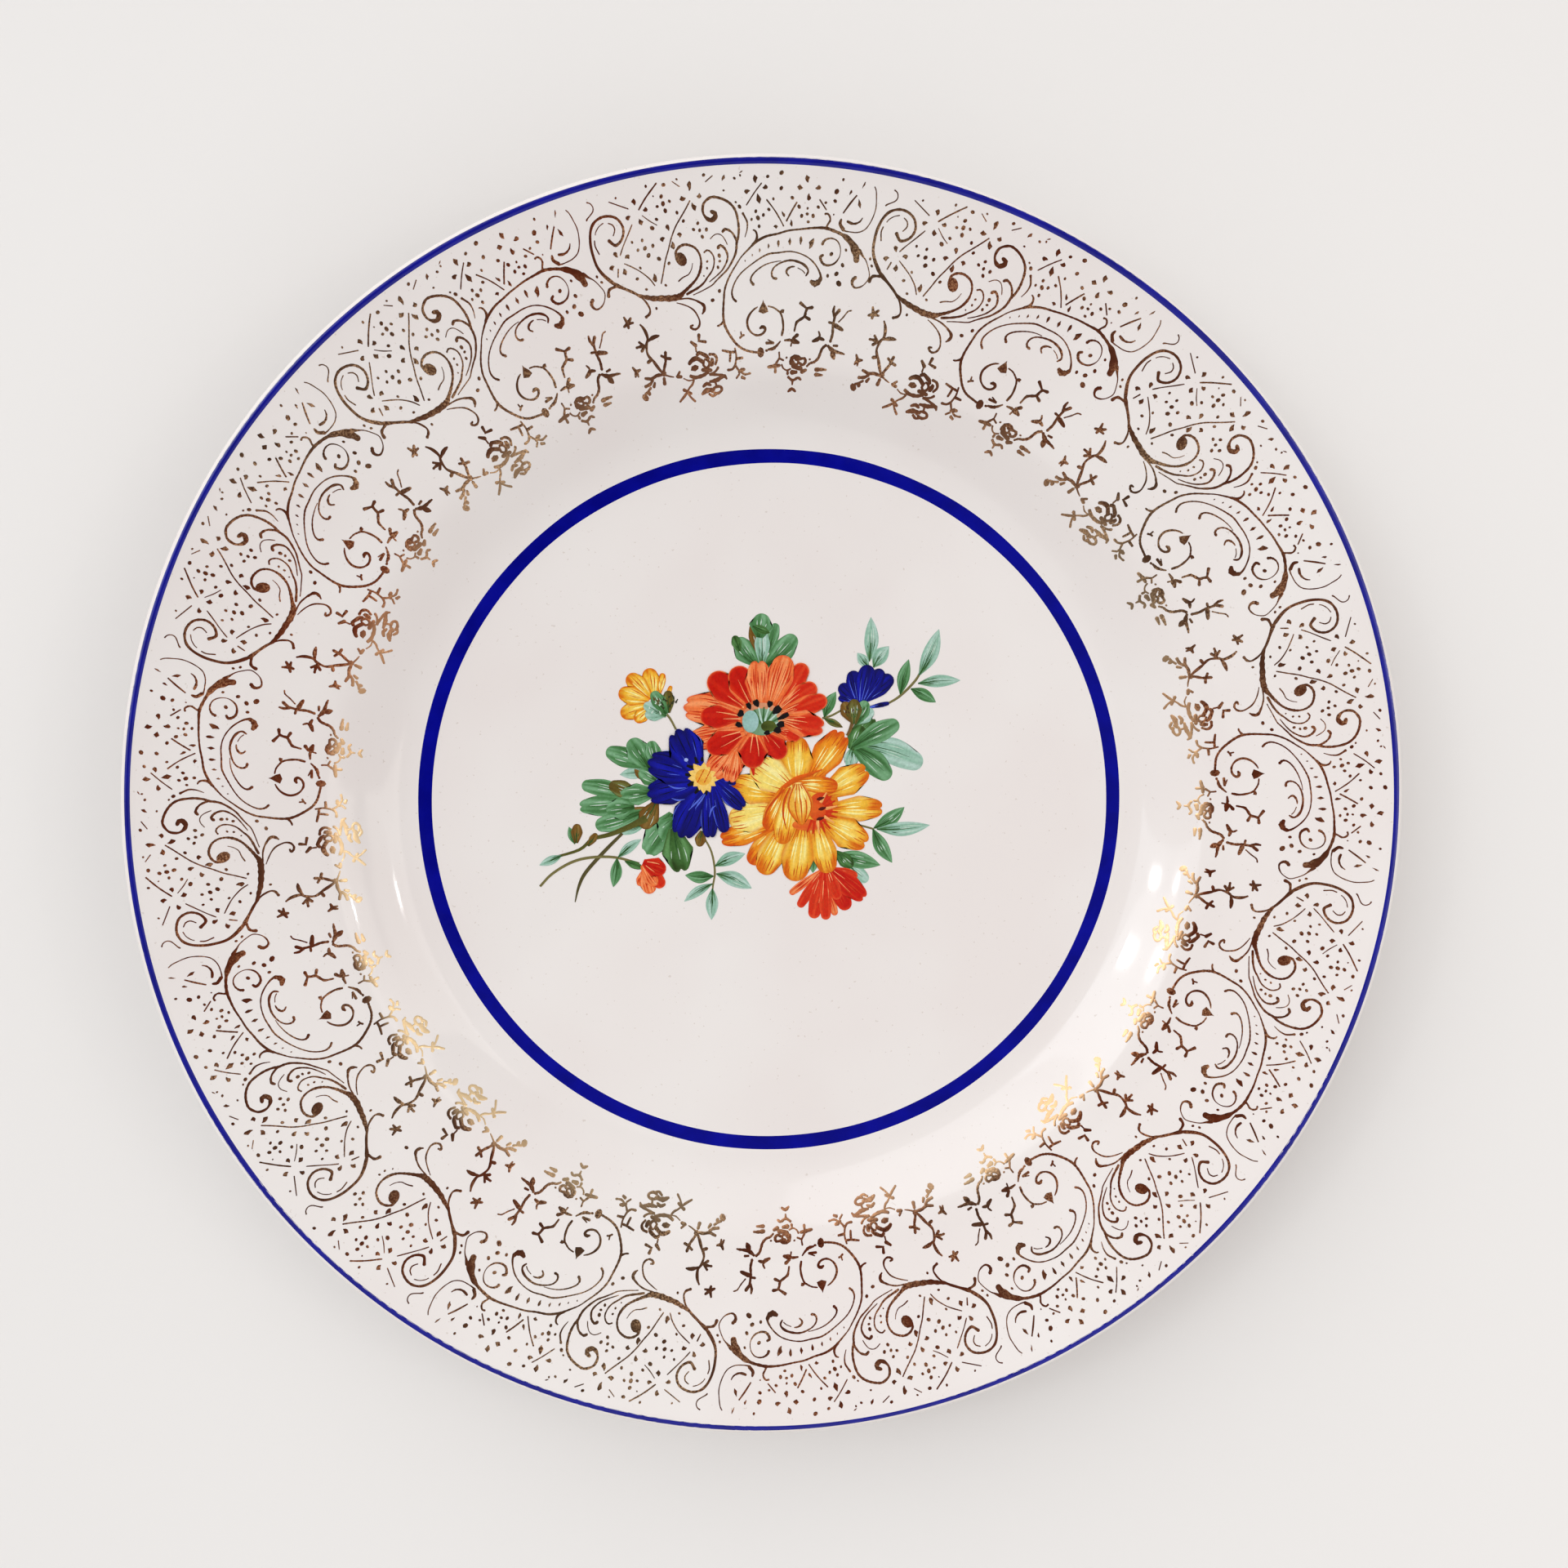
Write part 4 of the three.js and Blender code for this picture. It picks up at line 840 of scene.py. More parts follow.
class Paint:
    """The shapes of one enamel piece, each with its own colours, laid one over another."""

    def __init__(self, name):
        node, self.slot, self.level, seed = ENAMEL_PIECES[name]
        self.name = name
        self.replaced = [node] if node else []
        self.rng = random.Random(seed)
        self.verts, self.faces, self.colours = [], [], []

    def _add(self, grid, colours, step):
        """A closed flat coat over a grid of (x, y) points, its underside just inside the glaze."""
        rows, columns = grid.shape[:2]
        top = WELL_FLOOR + ENAMEL_LIFT + self.level * ENAMEL_STEP
        self.level += step
        first = len(self.verts)
        count = rows * columns
        for height in (top, WELL_FLOOR - ENAMEL_LIFT):
            self.verts += [(x, y, height) for x, y in grid.reshape(-1, 2)]
            self.colours += colours.reshape(-1, 3).tolist()
        index = np.arange(count).reshape(rows, columns) + first
        corners = index[:-1, :-1], index[1:, :-1], index[1:, 1:], index[:-1, 1:]
        quads = np.stack([c.ravel() for c in corners], axis=1)
        self.faces += quads.tolist() + (quads[:, ::-1] + count).tolist()
        rim = np.concatenate([index[:, 0], index[-1, 1:], index[-2::-1, -1], index[0, -2:0:-1]])
        after = np.roll(rim, -1)
        self.faces += np.stack([after, rim, rim + count, after + count], axis=1).tolist()

    def coat(self, petal, style, steps=PETAL_GRID):
        """Fills a petal's outline with a style's colours."""
        u = np.linspace(0, 1, steps[0])
        v = np.sin(np.linspace(-math.pi / 2, math.pi / 2, steps[1]))
        U, V = np.meshgrid(u, v, indexing="ij")
        half_width = petal.width / 2
        edge = np.minimum((1 - np.abs(V)) * petal.half(U) / half_width, (1 - U) * petal.length / half_width)
        self._add(petal.at(U, V), style(U, V, np.clip(edge, 0, 1), self.rng), 1)

    def mark(self, petal, v, u, widths, colour):
        """A fine brush mark that runs along a petal. v and u are where it starts and ends."""
        share = np.linspace(0, 1, 5)
        points = petal.at(u[0] + (u[1] - u[0]) * share, v[0] + (v[1] - v[0]) * share)
        self.stem(points, widths, colour, 2)

    def streaks(self, petal, count, colour, start, end, widths, spread):
        """Fine marks fanning out from a petal's root. start and end are ranges of u to draw from."""
        for i in range(count):
            v = spread * (2 * (i + 0.5 + self.rng.uniform(-0.3, 0.3)) / count - 1)
            fine = self.rng.uniform(0.7, 1.2)
            u = (self.rng.uniform(*start), self.rng.uniform(*end))
            self.mark(petal, (v * 0.9, v), u, [w * fine for w in widths], colour)

    def streak_all(self, petal, accents):
        """Several sets of streaks. Each accent holds what streaks takes after the petal."""
        for accent in accents:
            self.streaks(petal, *accent)

    def stem(self, points, widths, colour, steps=4):
        """A tapering stroke through (x, y) points."""
        widths = np.interp(np.linspace(0, 1, len(points)), np.linspace(0, 1, len(widths)), widths)
        path = catmull(np.c_[np.array(points, float), widths], steps)
        ahead = np.gradient(path[:, :2], axis=0)
        ahead /= np.maximum(np.linalg.norm(ahead, axis=1), 1e-6)[:, None]
        side = np.c_[-ahead[:, 1], ahead[:, 0]]
        v = np.linspace(-1, 1, 3)
        grid = path[:, None, :2] + side[:, None, :] * (path[:, 2] / 2)[:, None, None] * v[None, :, None]
        shade = 1 + 0.15 * v[None, :, None] * np.ones((len(path), 1, 1))
        self._add(grid, np.array(colour[:3]) * shade, MARK_STEP)

    def disc(self, centre, radii, style, steps=(9, 17)):
        """A round or oval patch."""
        U, V = np.meshgrid(np.linspace(-1, 1, steps[0]), np.linspace(-1, 1, steps[1]), indexing="ij")
        x, y = U * np.sqrt(1 - V**2 / 2), V * np.sqrt(1 - U**2 / 2)
        grid = np.stack([centre[0] - x * radii[0], centre[1] + y * radii[1]], -1)
        self._add(grid, style((x + 1) / 2, y, 1 - np.hypot(x, y), self.rng), 1)

    def build(self, material):
        piece = make_piece(self.name, self.verts, self.faces, material, self.replaced)
        paint = piece.data.attributes.new("paint", "FLOAT_COLOR", "POINT")
        colours = np.c_[np.clip(np.array(self.colours), 0, 1), np.ones(len(self.colours))]
        paint.data.foreach_set("color", colours.astype(np.float32).ravel())
        return piece


def brushed(*colours, streaks=7.0, contrast=0.55, root=0.5, tip=0.0, rim_width=0.2):
    """Streaky enamel: deep at the root, middle and light along it, back to deep at the tip.

    The four colours are the deep, middle and light ones and the rim's.
    """
    deep, middle, light, rim = (np.array(c[:3]) for c in colours)

    def paint(u, v, edge, rng):
        p1, p2, p3 = (rng.uniform(0, 2 * math.pi) for _ in range(3))
        wander = v * streaks + p1 + 0.7 * np.sin(2.3 * u + p2)
        fine = 0.5 + 0.5 * np.sin(wander) * np.sin(wander * 0.43 + p3)
        shade = 0.62 + contrast * (fine - 0.5)
        shade = shade - root * (1 - smoothstep(0, 0.4, u)) - tip * smoothstep(0.62, 1,
                                                                              u + 0.08 * np.sin(v * 6 + p2))
        low = smoothstep(0, 0.5, shade)[..., None]
        high = smoothstep(0.5, 1, shade)[..., None]
        colour = deep + (middle - deep) * low + (light - middle) * high
        band = (1 - smoothstep(0, rim_width, edge))[..., None]
        return colour + (rim - colour) * band * 0.7

    return paint


def plain(colour, other=None):
    """Goes from one enamel colour to another across the patch, or to a slightly deeper shade of the same."""
    first = np.array(colour[:3])
    second = first * 0.85 if other is None else np.array(other[:3])

    def paint(u, v, edge, rng):
        t = np.clip(0.5 + 0.9 * (u - 0.5) + 0.25 * np.sin(4 * v + rng.uniform(0, 6)), 0, 1)[..., None]
        return first + (second - first) * t

    return paint


RED = brushed(rgb(184, 22, 5), rgb(206, 36, 10), rgb(222, 68, 32), rgb(226, 92, 50), root=0.3, contrast=0.6)
DEEP_RED = brushed(rgb(156, 12, 3), rgb(192, 18, 4), rgb(206, 34, 10), rgb(216, 66, 30), root=0.2,
                   contrast=0.6)
ORANGE = brushed(rgb(218, 84, 32), rgb(236, 118, 60), rgb(246, 158, 102), rgb(220, 80, 34), root=0.2,
                 streaks=11, contrast=0.9)
YELLOW = brushed(rgb(214, 104, 8), rgb(240, 184, 54), rgb(250, 228, 126), rgb(216, 108, 12), root=0.4,
                 tip=0.55, rim_width=0.34, contrast=0.65)
PALE_YELLOW = brushed(rgb(228, 148, 38), rgb(244, 216, 108), rgb(250, 240, 172), rgb(224, 140, 40), root=0.3,
                      tip=0.2)
AMBER = brushed(rgb(208, 76, 6), rgb(234, 142, 24), rgb(244, 200, 84), rgb(210, 84, 10), root=0.3, tip=0.6,
                rim_width=0.32, contrast=0.65)
HEART_YELLOW = brushed(rgb(220, 118, 20), rgb(236, 176, 62), rgb(250, 230, 140), rgb(204, 78, 12), root=-0.3,
                       tip=0.7, rim_width=0.22, contrast=0.7)
BLUE = brushed(rgb(4, 3, 80), rgb(7, 8, 118), rgb(14, 20, 164), rgb(4, 3, 70), contrast=0.7, root=-0.15,
               tip=0.3)
GREEN = brushed(rgb(40, 78, 30), rgb(72, 124, 72), rgb(122, 170, 128), rgb(92, 142, 94), root=0.45, tip=-0.2,
                contrast=0.8)
DARK_GREEN = brushed(rgb(38, 58, 14), rgb(62, 104, 48), rgb(98, 146, 88), rgb(66, 96, 48), root=0.2, tip=0.4,
                     contrast=0.8)
PALE_GREEN = brushed(rgb(72, 118, 66), rgb(140, 182, 160), rgb(184, 210, 200), rgb(154, 188, 172), root=0.75,
                     tip=-0.15)
OLIVE = brushed(rgb(62, 46, 12), rgb(98, 82, 30), rgb(120, 134, 76), rgb(82, 70, 28), root=0.1, tip=0.2)
BROWN = brushed(rgb(74, 46, 12), rgb(114, 78, 26), rgb(142, 116, 60), rgb(96, 66, 24), root=0.3)

LIGHT_ORANGE = rgb(248, 166, 110)
BRICK = rgb(202, 54, 20)
BURNT = rgb(204, 86, 10)
LEMON = rgb(252, 236, 156)
SKY = rgb(84, 106, 214)
INK_BLUE = rgb(2, 2, 52)
RIB_GREEN = rgb(40, 78, 32)
RIB_PALE = rgb(196, 214, 200)
MOSS = rgb(86, 84, 34)
STEM = rgb(118, 110, 66)
DARK_STEM = rgb(84, 76, 42)
SOOT = rgb(16, 12, 14)

LEAF = {"belly": 0.48, "blunt": 0.05, "root": 0.1}
LOBE = {"belly": 0.66, "blunt": 0.72, "root": 0.3}
BROAD_LEAF = 2.8


def leaf(paint, base, tip, width, style, form=LEAF, bend=0.0, lobes=0):
    """A leaf with its midrib and a few fine side strokes, and pale ones towards the tip if it is broad."""
    shape = Petal(base, tip, width, bend=bend, lobes=lobes, **form)
    paint.coat(shape, style, LEAF_GRID)
    paint.mark(shape, (0, 0), (0, 0.8), (0.28, 0.16, 0.05), RIB_GREEN)
    paint.streaks(shape, 4, RIB_GREEN, (0.1, 0.3), (0.35, 0.6), (0.05, 0.16, 0.04), 0.6)
    if width > BROAD_LEAF:
        paint.streaks(shape, 3, RIB_PALE, (0.4, 0.5), (0.6, 0.85), (0.05, 0.18, 0.04), 0.6)


def spray(name, shapes, material, stems=()):
    """A spray of leaves on its stems. Each shape holds what leaf takes after the paint."""
    paint = Paint(name)
    for points, widths, colour in stems:
        paint.stem(points, widths, colour)
    for shape in shapes:
        leaf(paint, *shape)
    return paint.build(material)


def foliage(green, pale, brown):
    spray("leaves_top", [
        ((-3.6, 29), (-8, 34.4), 4.6, GREEN, LOBE, .3), ((-1.8, 29), (4.4, 35), 4.6, GREEN, LOBE, -.4),
        ((-1.4, 31.5), (.3, 37.6), 2.6, GREEN, LOBE), ((-7.3, 31.8), (-8.4, 35), 2.2, DARK_GREEN, LOBE),
        ((-3, 31), (-4.4, 37.6), 3.2, BROWN, LOBE), ((-2.6, 29), (-2.6, 36.2), 3.2, PALE_GREEN, LOBE),
        ((-3.2, 34.6), (-2.5, 39.6), 5, GREEN, LOBE), ((-4.6, 37), (-1, 35.6), 1.7, DARK_GREEN)], green)
    spray("leaves_upper_left", [
        ((-26, 7), (-32, 6.2), 2.6, PALE_GREEN), ((-26, 8), (-34.8, 11.2), 4.2, GREEN, LOBE),
        ((-26, 7.5), (-29.8, 13.6), 5.2, GREEN, LOBE), ((-24.5, 8), (-25.6, 13.2), 3.4, GREEN, LOBE),
        ((-27, 5), (-29, 7.4), 1.4, BROWN), ((-23.5, 4.5), (-28, 7), 4, GREEN, LOBE)], green)
    spray("leaves_left", [
        ((-25, -1), (-31, -3.2), 3.6, BROWN, LOBE), ((-29, 1.5), (-39.8, 4.2), 3.6, GREEN, LOBE, -.4),
        ((-28, 2), (-34.2, 4.2), 3.6, OLIVE, LOBE), ((-24.5, 2.5), (-32, 1.8), 4.6, GREEN, LOBE, 0, 2),
        ((-30, .5), (-40.4, -.5), 4.4, GREEN, LOBE, .2, 2), ((-27, -1.5), (-37, -4.6), 4.2, GREEN, LOBE, .3),
        ((-29, -.5), (-34.8, -1.2), 4.6, GREEN, LOBE), ((-24.5, .5), (-27.3, -5), 4.4, BROWN, LOBE)], green)
    spray("leaves_lower_left", [
        ((-26.5, -4), (-33, -6), 2.4, PALE_GREEN), ((-21, -2), (-26.5, -10.4), 6.4, GREEN, LOBE, 0, 3),
        ((-20.5, -3), (-23, -7.5), 6.2, GREEN, LOBE),
        ((-21, -5), (-19.2, -14.2), 6.6, DARK_GREEN, LOBE, 0, 2),
        ((-15, -5.5), (-15.6, -8.8), 2.4, BROWN, LOBE)], green)
    spray("sprig_lower", [
        ((-12.3, -12.9), (-6, -10.3), 2.7, PALE_GREEN, LEAF, .3),
        ((-12, -14.5), (-4.6, -17.6), 3.2, PALE_GREEN, LEAF, .4),
        ((-12.6, -15), (-18.5, -14.8), 2.6, GREEN, LEAF, .3),
        ((-12.8, -16.6), (-18.7, -20.3), 2, PALE_GREEN, LEAF, -.3),
        ((-12.8, -17.6), (-13, -24.2), 2.6, PALE_GREEN)], pale,
        [([(-14.5, -7), (-13, -10), (-12.3, -14), (-12.7, -17), (-12.8, -19)], (.4, .45, .3), STEM)])
    spray("leaves_right", [
        ((16.5, 12), (15.8, 7.6), 3.2, PALE_GREEN, LOBE),
        ((16.5, 12.5), (31.2, 8.6), 5.6, PALE_GREEN, LOBE, .9),
        ((16.5, 12), (24.4, 5.6), 5, GREEN, LOBE, .3),
        ((15.5, 12.5), (20.8, 18.2), 4, DARK_GREEN, LOBE, 0, 2),
        ((16, 11.5), (18.4, 16.4), 4.4, DARK_GREEN, LOBE), ((16.5, 12), (26, 17.2), 4.4, GREEN, LOBE, .2)],
        green)
    spray("leaves_bud_top", [
        ((19.7, 29.8), (20, 39), 3, PALE_GREEN, LEAF, -.3), ((19.6, 28.6), (17.2, 31.6), 2.2, PALE_GREEN),
        ((20.6, 28.6), (23.8, 33), 3.2, PALE_GREEN, LEAF, .3)], pale)
    spray("sprig_far_right", [
        ((26.3, 23), (28, 30.3), 2.6, GREEN, LEAF, .2),
        ((30.2, 27), (34.3, 36.6), 3.3, PALE_GREEN, LEAF, -.4),
        ((30, 25.3), (38.9, 26), 2.6, PALE_GREEN, LEAF, .2),
        ((28.5, 24.2), (33.8, 21.4), 2.5, GREEN, LEAF, .2)], pale,
        [([(22.5, 20.5), (26, 22.5), (29.5, 26), (31, 29)], (.4, .6, .4), STEM)])
    spray("leaf_bud_side", [
        ((10.4, 18.2), (12.8, 23.5), 2.6, GREEN, LEAF, .3), ((10.3, 18), (14.3, 16.1), 1.5, OLIVE)], green,
        [([(10, 18), (12, 18.6), (14.5, 20)], (.5, .4), STEM)])
    spray("sprig_right_lower", [
        ((21, -5), (27.4, -.6), 3, GREEN, LEAF, -.4), ((21.6, -5.2), (32.8, -4.4), 3, PALE_GREEN, LEAF, -.4),
        ((20.8, -5.2), (24.9, -12.3), 3, GREEN, LEAF, -.3)], pale,
        [([(15, -4), (18, -4.4), (21, -5.2)], (.5, .4), STEM)])
    spray("leaves_lower_right", [
        ((8.4, -9), (8.2, -14.4), 2.6, GREEN), ((14, -11.5), (19.8, -16.2), 3.2, PALE_GREEN, LOBE),
        ((13, -10.5), (22.4, -12.8), 3.6, GREEN), ((13, -10), (16.6, -13.2), 3, DARK_GREEN, LOBE)], green)
    spray("stems_left", [
        ((-41.3, -8.2), (-42.5, -4.6), 1.6, GREEN), ((-41, -8), (-40.8, -4), 2.4, BROWN, LOBE),
        ((-38.6, -8.6), (-36.8, -6), 1.6, BROWN, LOBE),
        ((-32.6, -11.2), (-33.4, -17.2), 2.4, GREEN, LEAF, .2),
        ((-32.4, -11), (-27.6, -7.2), 2, PALE_GREEN, LEAF, .2),
        ((-44, -10.6), (-48.6, -12.6), 1.8, PALE_GREEN), ((-31, -11.8), (-27, -13.4), 1.6, DARK_GREEN)],
        brown,
        [([(-26.5, -2.8), (-30, -4.6), (-34, -6.2), (-37.7, -7.2), (-40.4, -9.4), (-46, -11.1)],
          (1.5, 1, .7, .5), MOSS),
         ([(-31.5, -6), (-35, -9.5), (-39, -14), (-40.5, -17), (-41.3, -20.3)], (.6, .8, .7, .2), DARK_STEM),
         ([(-28, -12.3), (-33, -11), (-38, -11), (-42, -12), (-46, -14.4), (-48.5, -17)], (.5, .6, .5),
          STEM)])


# What a petal of the red flower gets over its orange coat: an inner coat of (start, share, style), if any,
# and its streaks.
RED_PETALS = {
    "orange": (None, [
        (9, BRICK, (.1, .5), (.6, .98), (.05, .34, .1), .9),
        (4, LIGHT_ORANGE, (.05, .2), (.5, .8), (.08, .26, .06), .7)]),
    "front": (None, [
        (8, BRICK, (.3, .6), (.75, .98), (.05, .4, .1), .9),
        (3, LIGHT_ORANGE, (.05, .2), (.5, .8), (.08, .26, .06), .7)]),
    "split": ((.28, .9, RED), [
        (4, LIGHT_ORANGE, (.02, .1), (.3, .7), (.26, .18, .05), .7),
        (5, BRICK, (.05, .1), (.3, .5), (.1, .26, .08), .7)]),
    "deep": ((.1, .92, DEEP_RED), [
        (2, LIGHT_ORANGE, (.02, .1), (.3, .7), (.26, .18, .05), .7),
        (5, BRICK, (.05, .1), (.3, .5), (.1, .26, .08), .7)]),
    "over": ((.1, .92, DEEP_RED), [
        (2, LIGHT_ORANGE, (.02, .1), (.3, .7), (.26, .18, .05), .7)]),
}


def red_petals(flower, petals):
    """Lays petals of (base, tip, width, kind, lobes)."""
    for base, tip, width, kind, lobes in petals:
        shape = Petal(base, tip, width, lobes=lobes)
        inner, accents = RED_PETALS[kind]
        flower.coat(shape, ORANGE)
        if inner:
            start, share, style = inner
            flower.coat(shape.inside(start, share), style)
        flower.streak_all(shape, accents)


def red_flower(red, green):
    flower = Paint("flower_red")
    flower.disc((-3.2, 17.6), (7.4, 6.6), ORANGE)
    red_petals(flower, (
        ((-7, 19.3), (-18.9, 20.2), 7.4, "orange", 3), ((-6.4, 14.8), (-11.2, 6.2), 7.8, "orange", 3),
        ((-7, 15.6), (-18, 13), 5.4, "orange", 2), ((-5.6, 20), (-13.4, 26.9), 6.4, "deep", 0),
        ((-4.6, 20.4), (-8.2, 28.6), 6, "deep", 0), ((-6.6, 18), (-15.4, 18.4), 5.2, "deep", 0),
        ((.4, 20), (6.4, 29.2), 4.4, "split", 0), ((-3.2, 20.5), (-3.4, 30), 5.8, "orange", 2),
        ((-.9, 20.6), (2.4, 30.9), 5.8, "orange", 0), ((1, 19.6), (8.6, 24.9), 4.4, "split", 0),
        ((1.2, 18.8), (10.9, 22), 4.2, "split", 0), ((.6, 15.6), (5.4, 14), 3.2, "split", 0),
        ((1.4, 17.8), (10.4, 16), 5.8, "split", 2), ((-2.2, 15), (2, 9.8), 5, "deep", 0),
        ((-4.3, 14.8), (-4.6, 7.6), 6.4, "deep", 0), ((-6.2, 15), (-14, 11.4), 5.6, "deep", 0),
    ))
    flower.stem([(-4.6, 8.4), (-4.3, 6.1)], (1.2, .3), rgb(204, 36, 10))
    flower.build(red)
    front = Paint("flower_red_front")
    red_petals(front, (
        ((-8, 12), (-13.4, 5.9), 6.6, "front", 3), ((-8, 11), (-9.4, 4.6), 4.2, "front", 2),
        ((-6.2, 15), (-14, 11.4), 5.6, "over", 0), ((-4.3, 14.8), (-4.6, 7.6), 6.4, "over", 0),
    ))
    front.build(red)
    centre = Paint("flower_red_centre")
    centre.disc((-2.6, 17.9), (4.2, 3.3), plain(rgb(214, 150, 112), rgb(206, 128, 92)))
    centre.disc((-2.7, 17.2), (3.5, 2.8), plain(rgb(128, 164, 136), rgb(88, 122, 66)))
    for i in range(9):
        turn = math.radians(-12 + 17 * i)
        near = (-2.4 + .8 * math.cos(turn), 16.3 + .6 * math.sin(turn))
        far = (-2.2 + 3.6 * math.cos(turn), 16.9 + 3.4 * math.sin(turn))
        centre.stem([near, far], (.5, .3), rgb(180, 208, 194) if i % 2 else rgb(56, 100, 52))
    centre.disc((-1.2, 16.3), (1.6, 1.2), plain(rgb(84, 96, 34), rgb(56, 66, 20)))
    centre.disc((-5, 17.3), (1.7, 2.3), plain(rgb(158, 194, 190), rgb(140, 182, 172)))
    stamens = (((-3.4, 20.3), (-4.1, 21.7)), ((-5, 19.8), (-5.6, 21.1)), ((-6.4, 18.6), (-7.5, 19.2)),
               ((-6.7, 16.3), (-8, 16.9)), ((-1.2, 20.2), (-.8, 21.5)), ((-.4, 18.9), (1.2, 20.3)),
               ((.6, 17.7), (2.9, 18.9)), ((.4, 16.6), (2, 16.8)), ((-.2, 15.3), (1.3, 15.7)),
               ((-2.2, 14.8), (-1, 15.1)))
    for i, (near, far) in enumerate(stamens):
        width = 1.25 + .3 * math.sin(4 * i)
        centre.stem([near, ((near[0] + far[0]) / 2, (near[1] + far[1]) / 2), far], (.3, width, width * .8),
                    SOOT)
    centre.build(green)


def blue_flower(blue, yellow):
    flower = Paint("flower_blue")
    flower.disc((-16, 4), (3.4, 3.6), BLUE)
    petals = (((-11.2, 5.2), (-8, 4.4), 1.4, 0, .5), ((-15, 3.2), (-19.6, -6.9), 7.2, 3, .4),
              ((-16.6, 4.4), (-26.4, 2), 6.4, 3, .5), ((-16.6, 6.4), (-26.3, 9), 7.2, 3, .5),
              ((-16.4, 7.6), (-20.2, 15.7), 7.8, 3, .5), ((-13.8, 3), (-13.3, -7), 3.8, 2, .3),
              ((-12.8, 4), (-10.2, -5.8), 3, 0, .3), ((-12.2, 4.8), (-6.3, -.8), 3.8, 2, .4))
    for base, tip, width, lobes, root in petals:
        shape = Petal(base, tip, width, root=root, lobes=lobes)
        flower.coat(shape, BLUE)
        flower.streaks(shape, 4, INK_BLUE, (.3, .5), (.75, .97), (.05, .25, .08), .8)
        flower.streaks(shape, 2 if width > 3 else 1, SKY, (.15, .3), (.4, .6), (.04, .11, .03), .6)
        flower.mark(shape, (-.93, -.88), (.4, .9), (.04, .16, .05), SKY)
    for line in ([(-22, 4), (-20.4, 3.4), (-18.4, 3.5)], [(-21.3, 1.3), (-20, .9), (-18.6, 1.1)],
                 [(-17.8, -1.2), (-16, .6), (-14.6, 2.2)], [(-13.5, -2.6), (-13, -1), (-12.2, -.2)],
                 [(-16.4, -.8), (-15.2, .8), (-14.2, 2.4)]):
        flower.stem(line, (.1, .34, .08), SKY)
    flower.disc((-18.3, 9.3), (.42, .38), plain(rgb(160, 176, 238)), (4, 7))
    flower.build(blue)
    centre = Paint("flower_blue_centre")
    for near, far, width in (((-16, 8.6), (-16.5, 9.9), .8), ((-15, 9), (-15, 9.9), .7),
                             ((-16.4, 7.6), (-18.2, 8.1), .9), ((-16.6, 6), (-18.5, 6.3), 1),
                             ((-16.6, 4.6), (-18, 4), 1.1), ((-15.6, 3.4), (-16.5, 2.3), .9),
                             ((-14, 3), (-14.2, 1.9), .6)):
        centre.stem([near, far], (width, width * .5), SOOT)
    for x, y in ((-16.8, 8.5), (-17.8, 6.9), (-17.9, 5.4), (-16.8, 3.8), (-15.6, 3), (-14.7, 2.3),
                 (-13.3, 2.6), (-12.2, 3.9), (-11.4, 5.3), (-12.2, 6.8), (-13.4, 7.9), (-14.6, 8.8),
                 (-15.8, 8.2)):
        centre.coat(Petal((-14.7, 5.7), (x, y), 1.5, .55, .15, .4),
                    plain(rgb(246, 212, 128), rgb(240, 196, 96)), (7, 5))
    centre.disc((-14.7, 5.7), (1.7, 1.7), plain(rgb(240, 190, 84), rgb(230, 160, 48)))
    for i in range(8):
        centre.stem([(-16 + .36 * i, 4.6 + .7 * (i % 4)), (-15.6 + .36 * i, 5.3 + .7 * (i % 4))], (.28, .12),
                    BURNT)
    centre.build(yellow)


YELLOW_STREAKS = [
    (5, BURNT, (.02, .08), (.2, .42), (.24, .18, .04), .8),
    (6, BURNT, (.62, .8), (.9, .99), (.04, .22, .14), .85),
    (4, LEMON, (.2, .35), (.55, .75), (.05, .34, .05), .6),
]


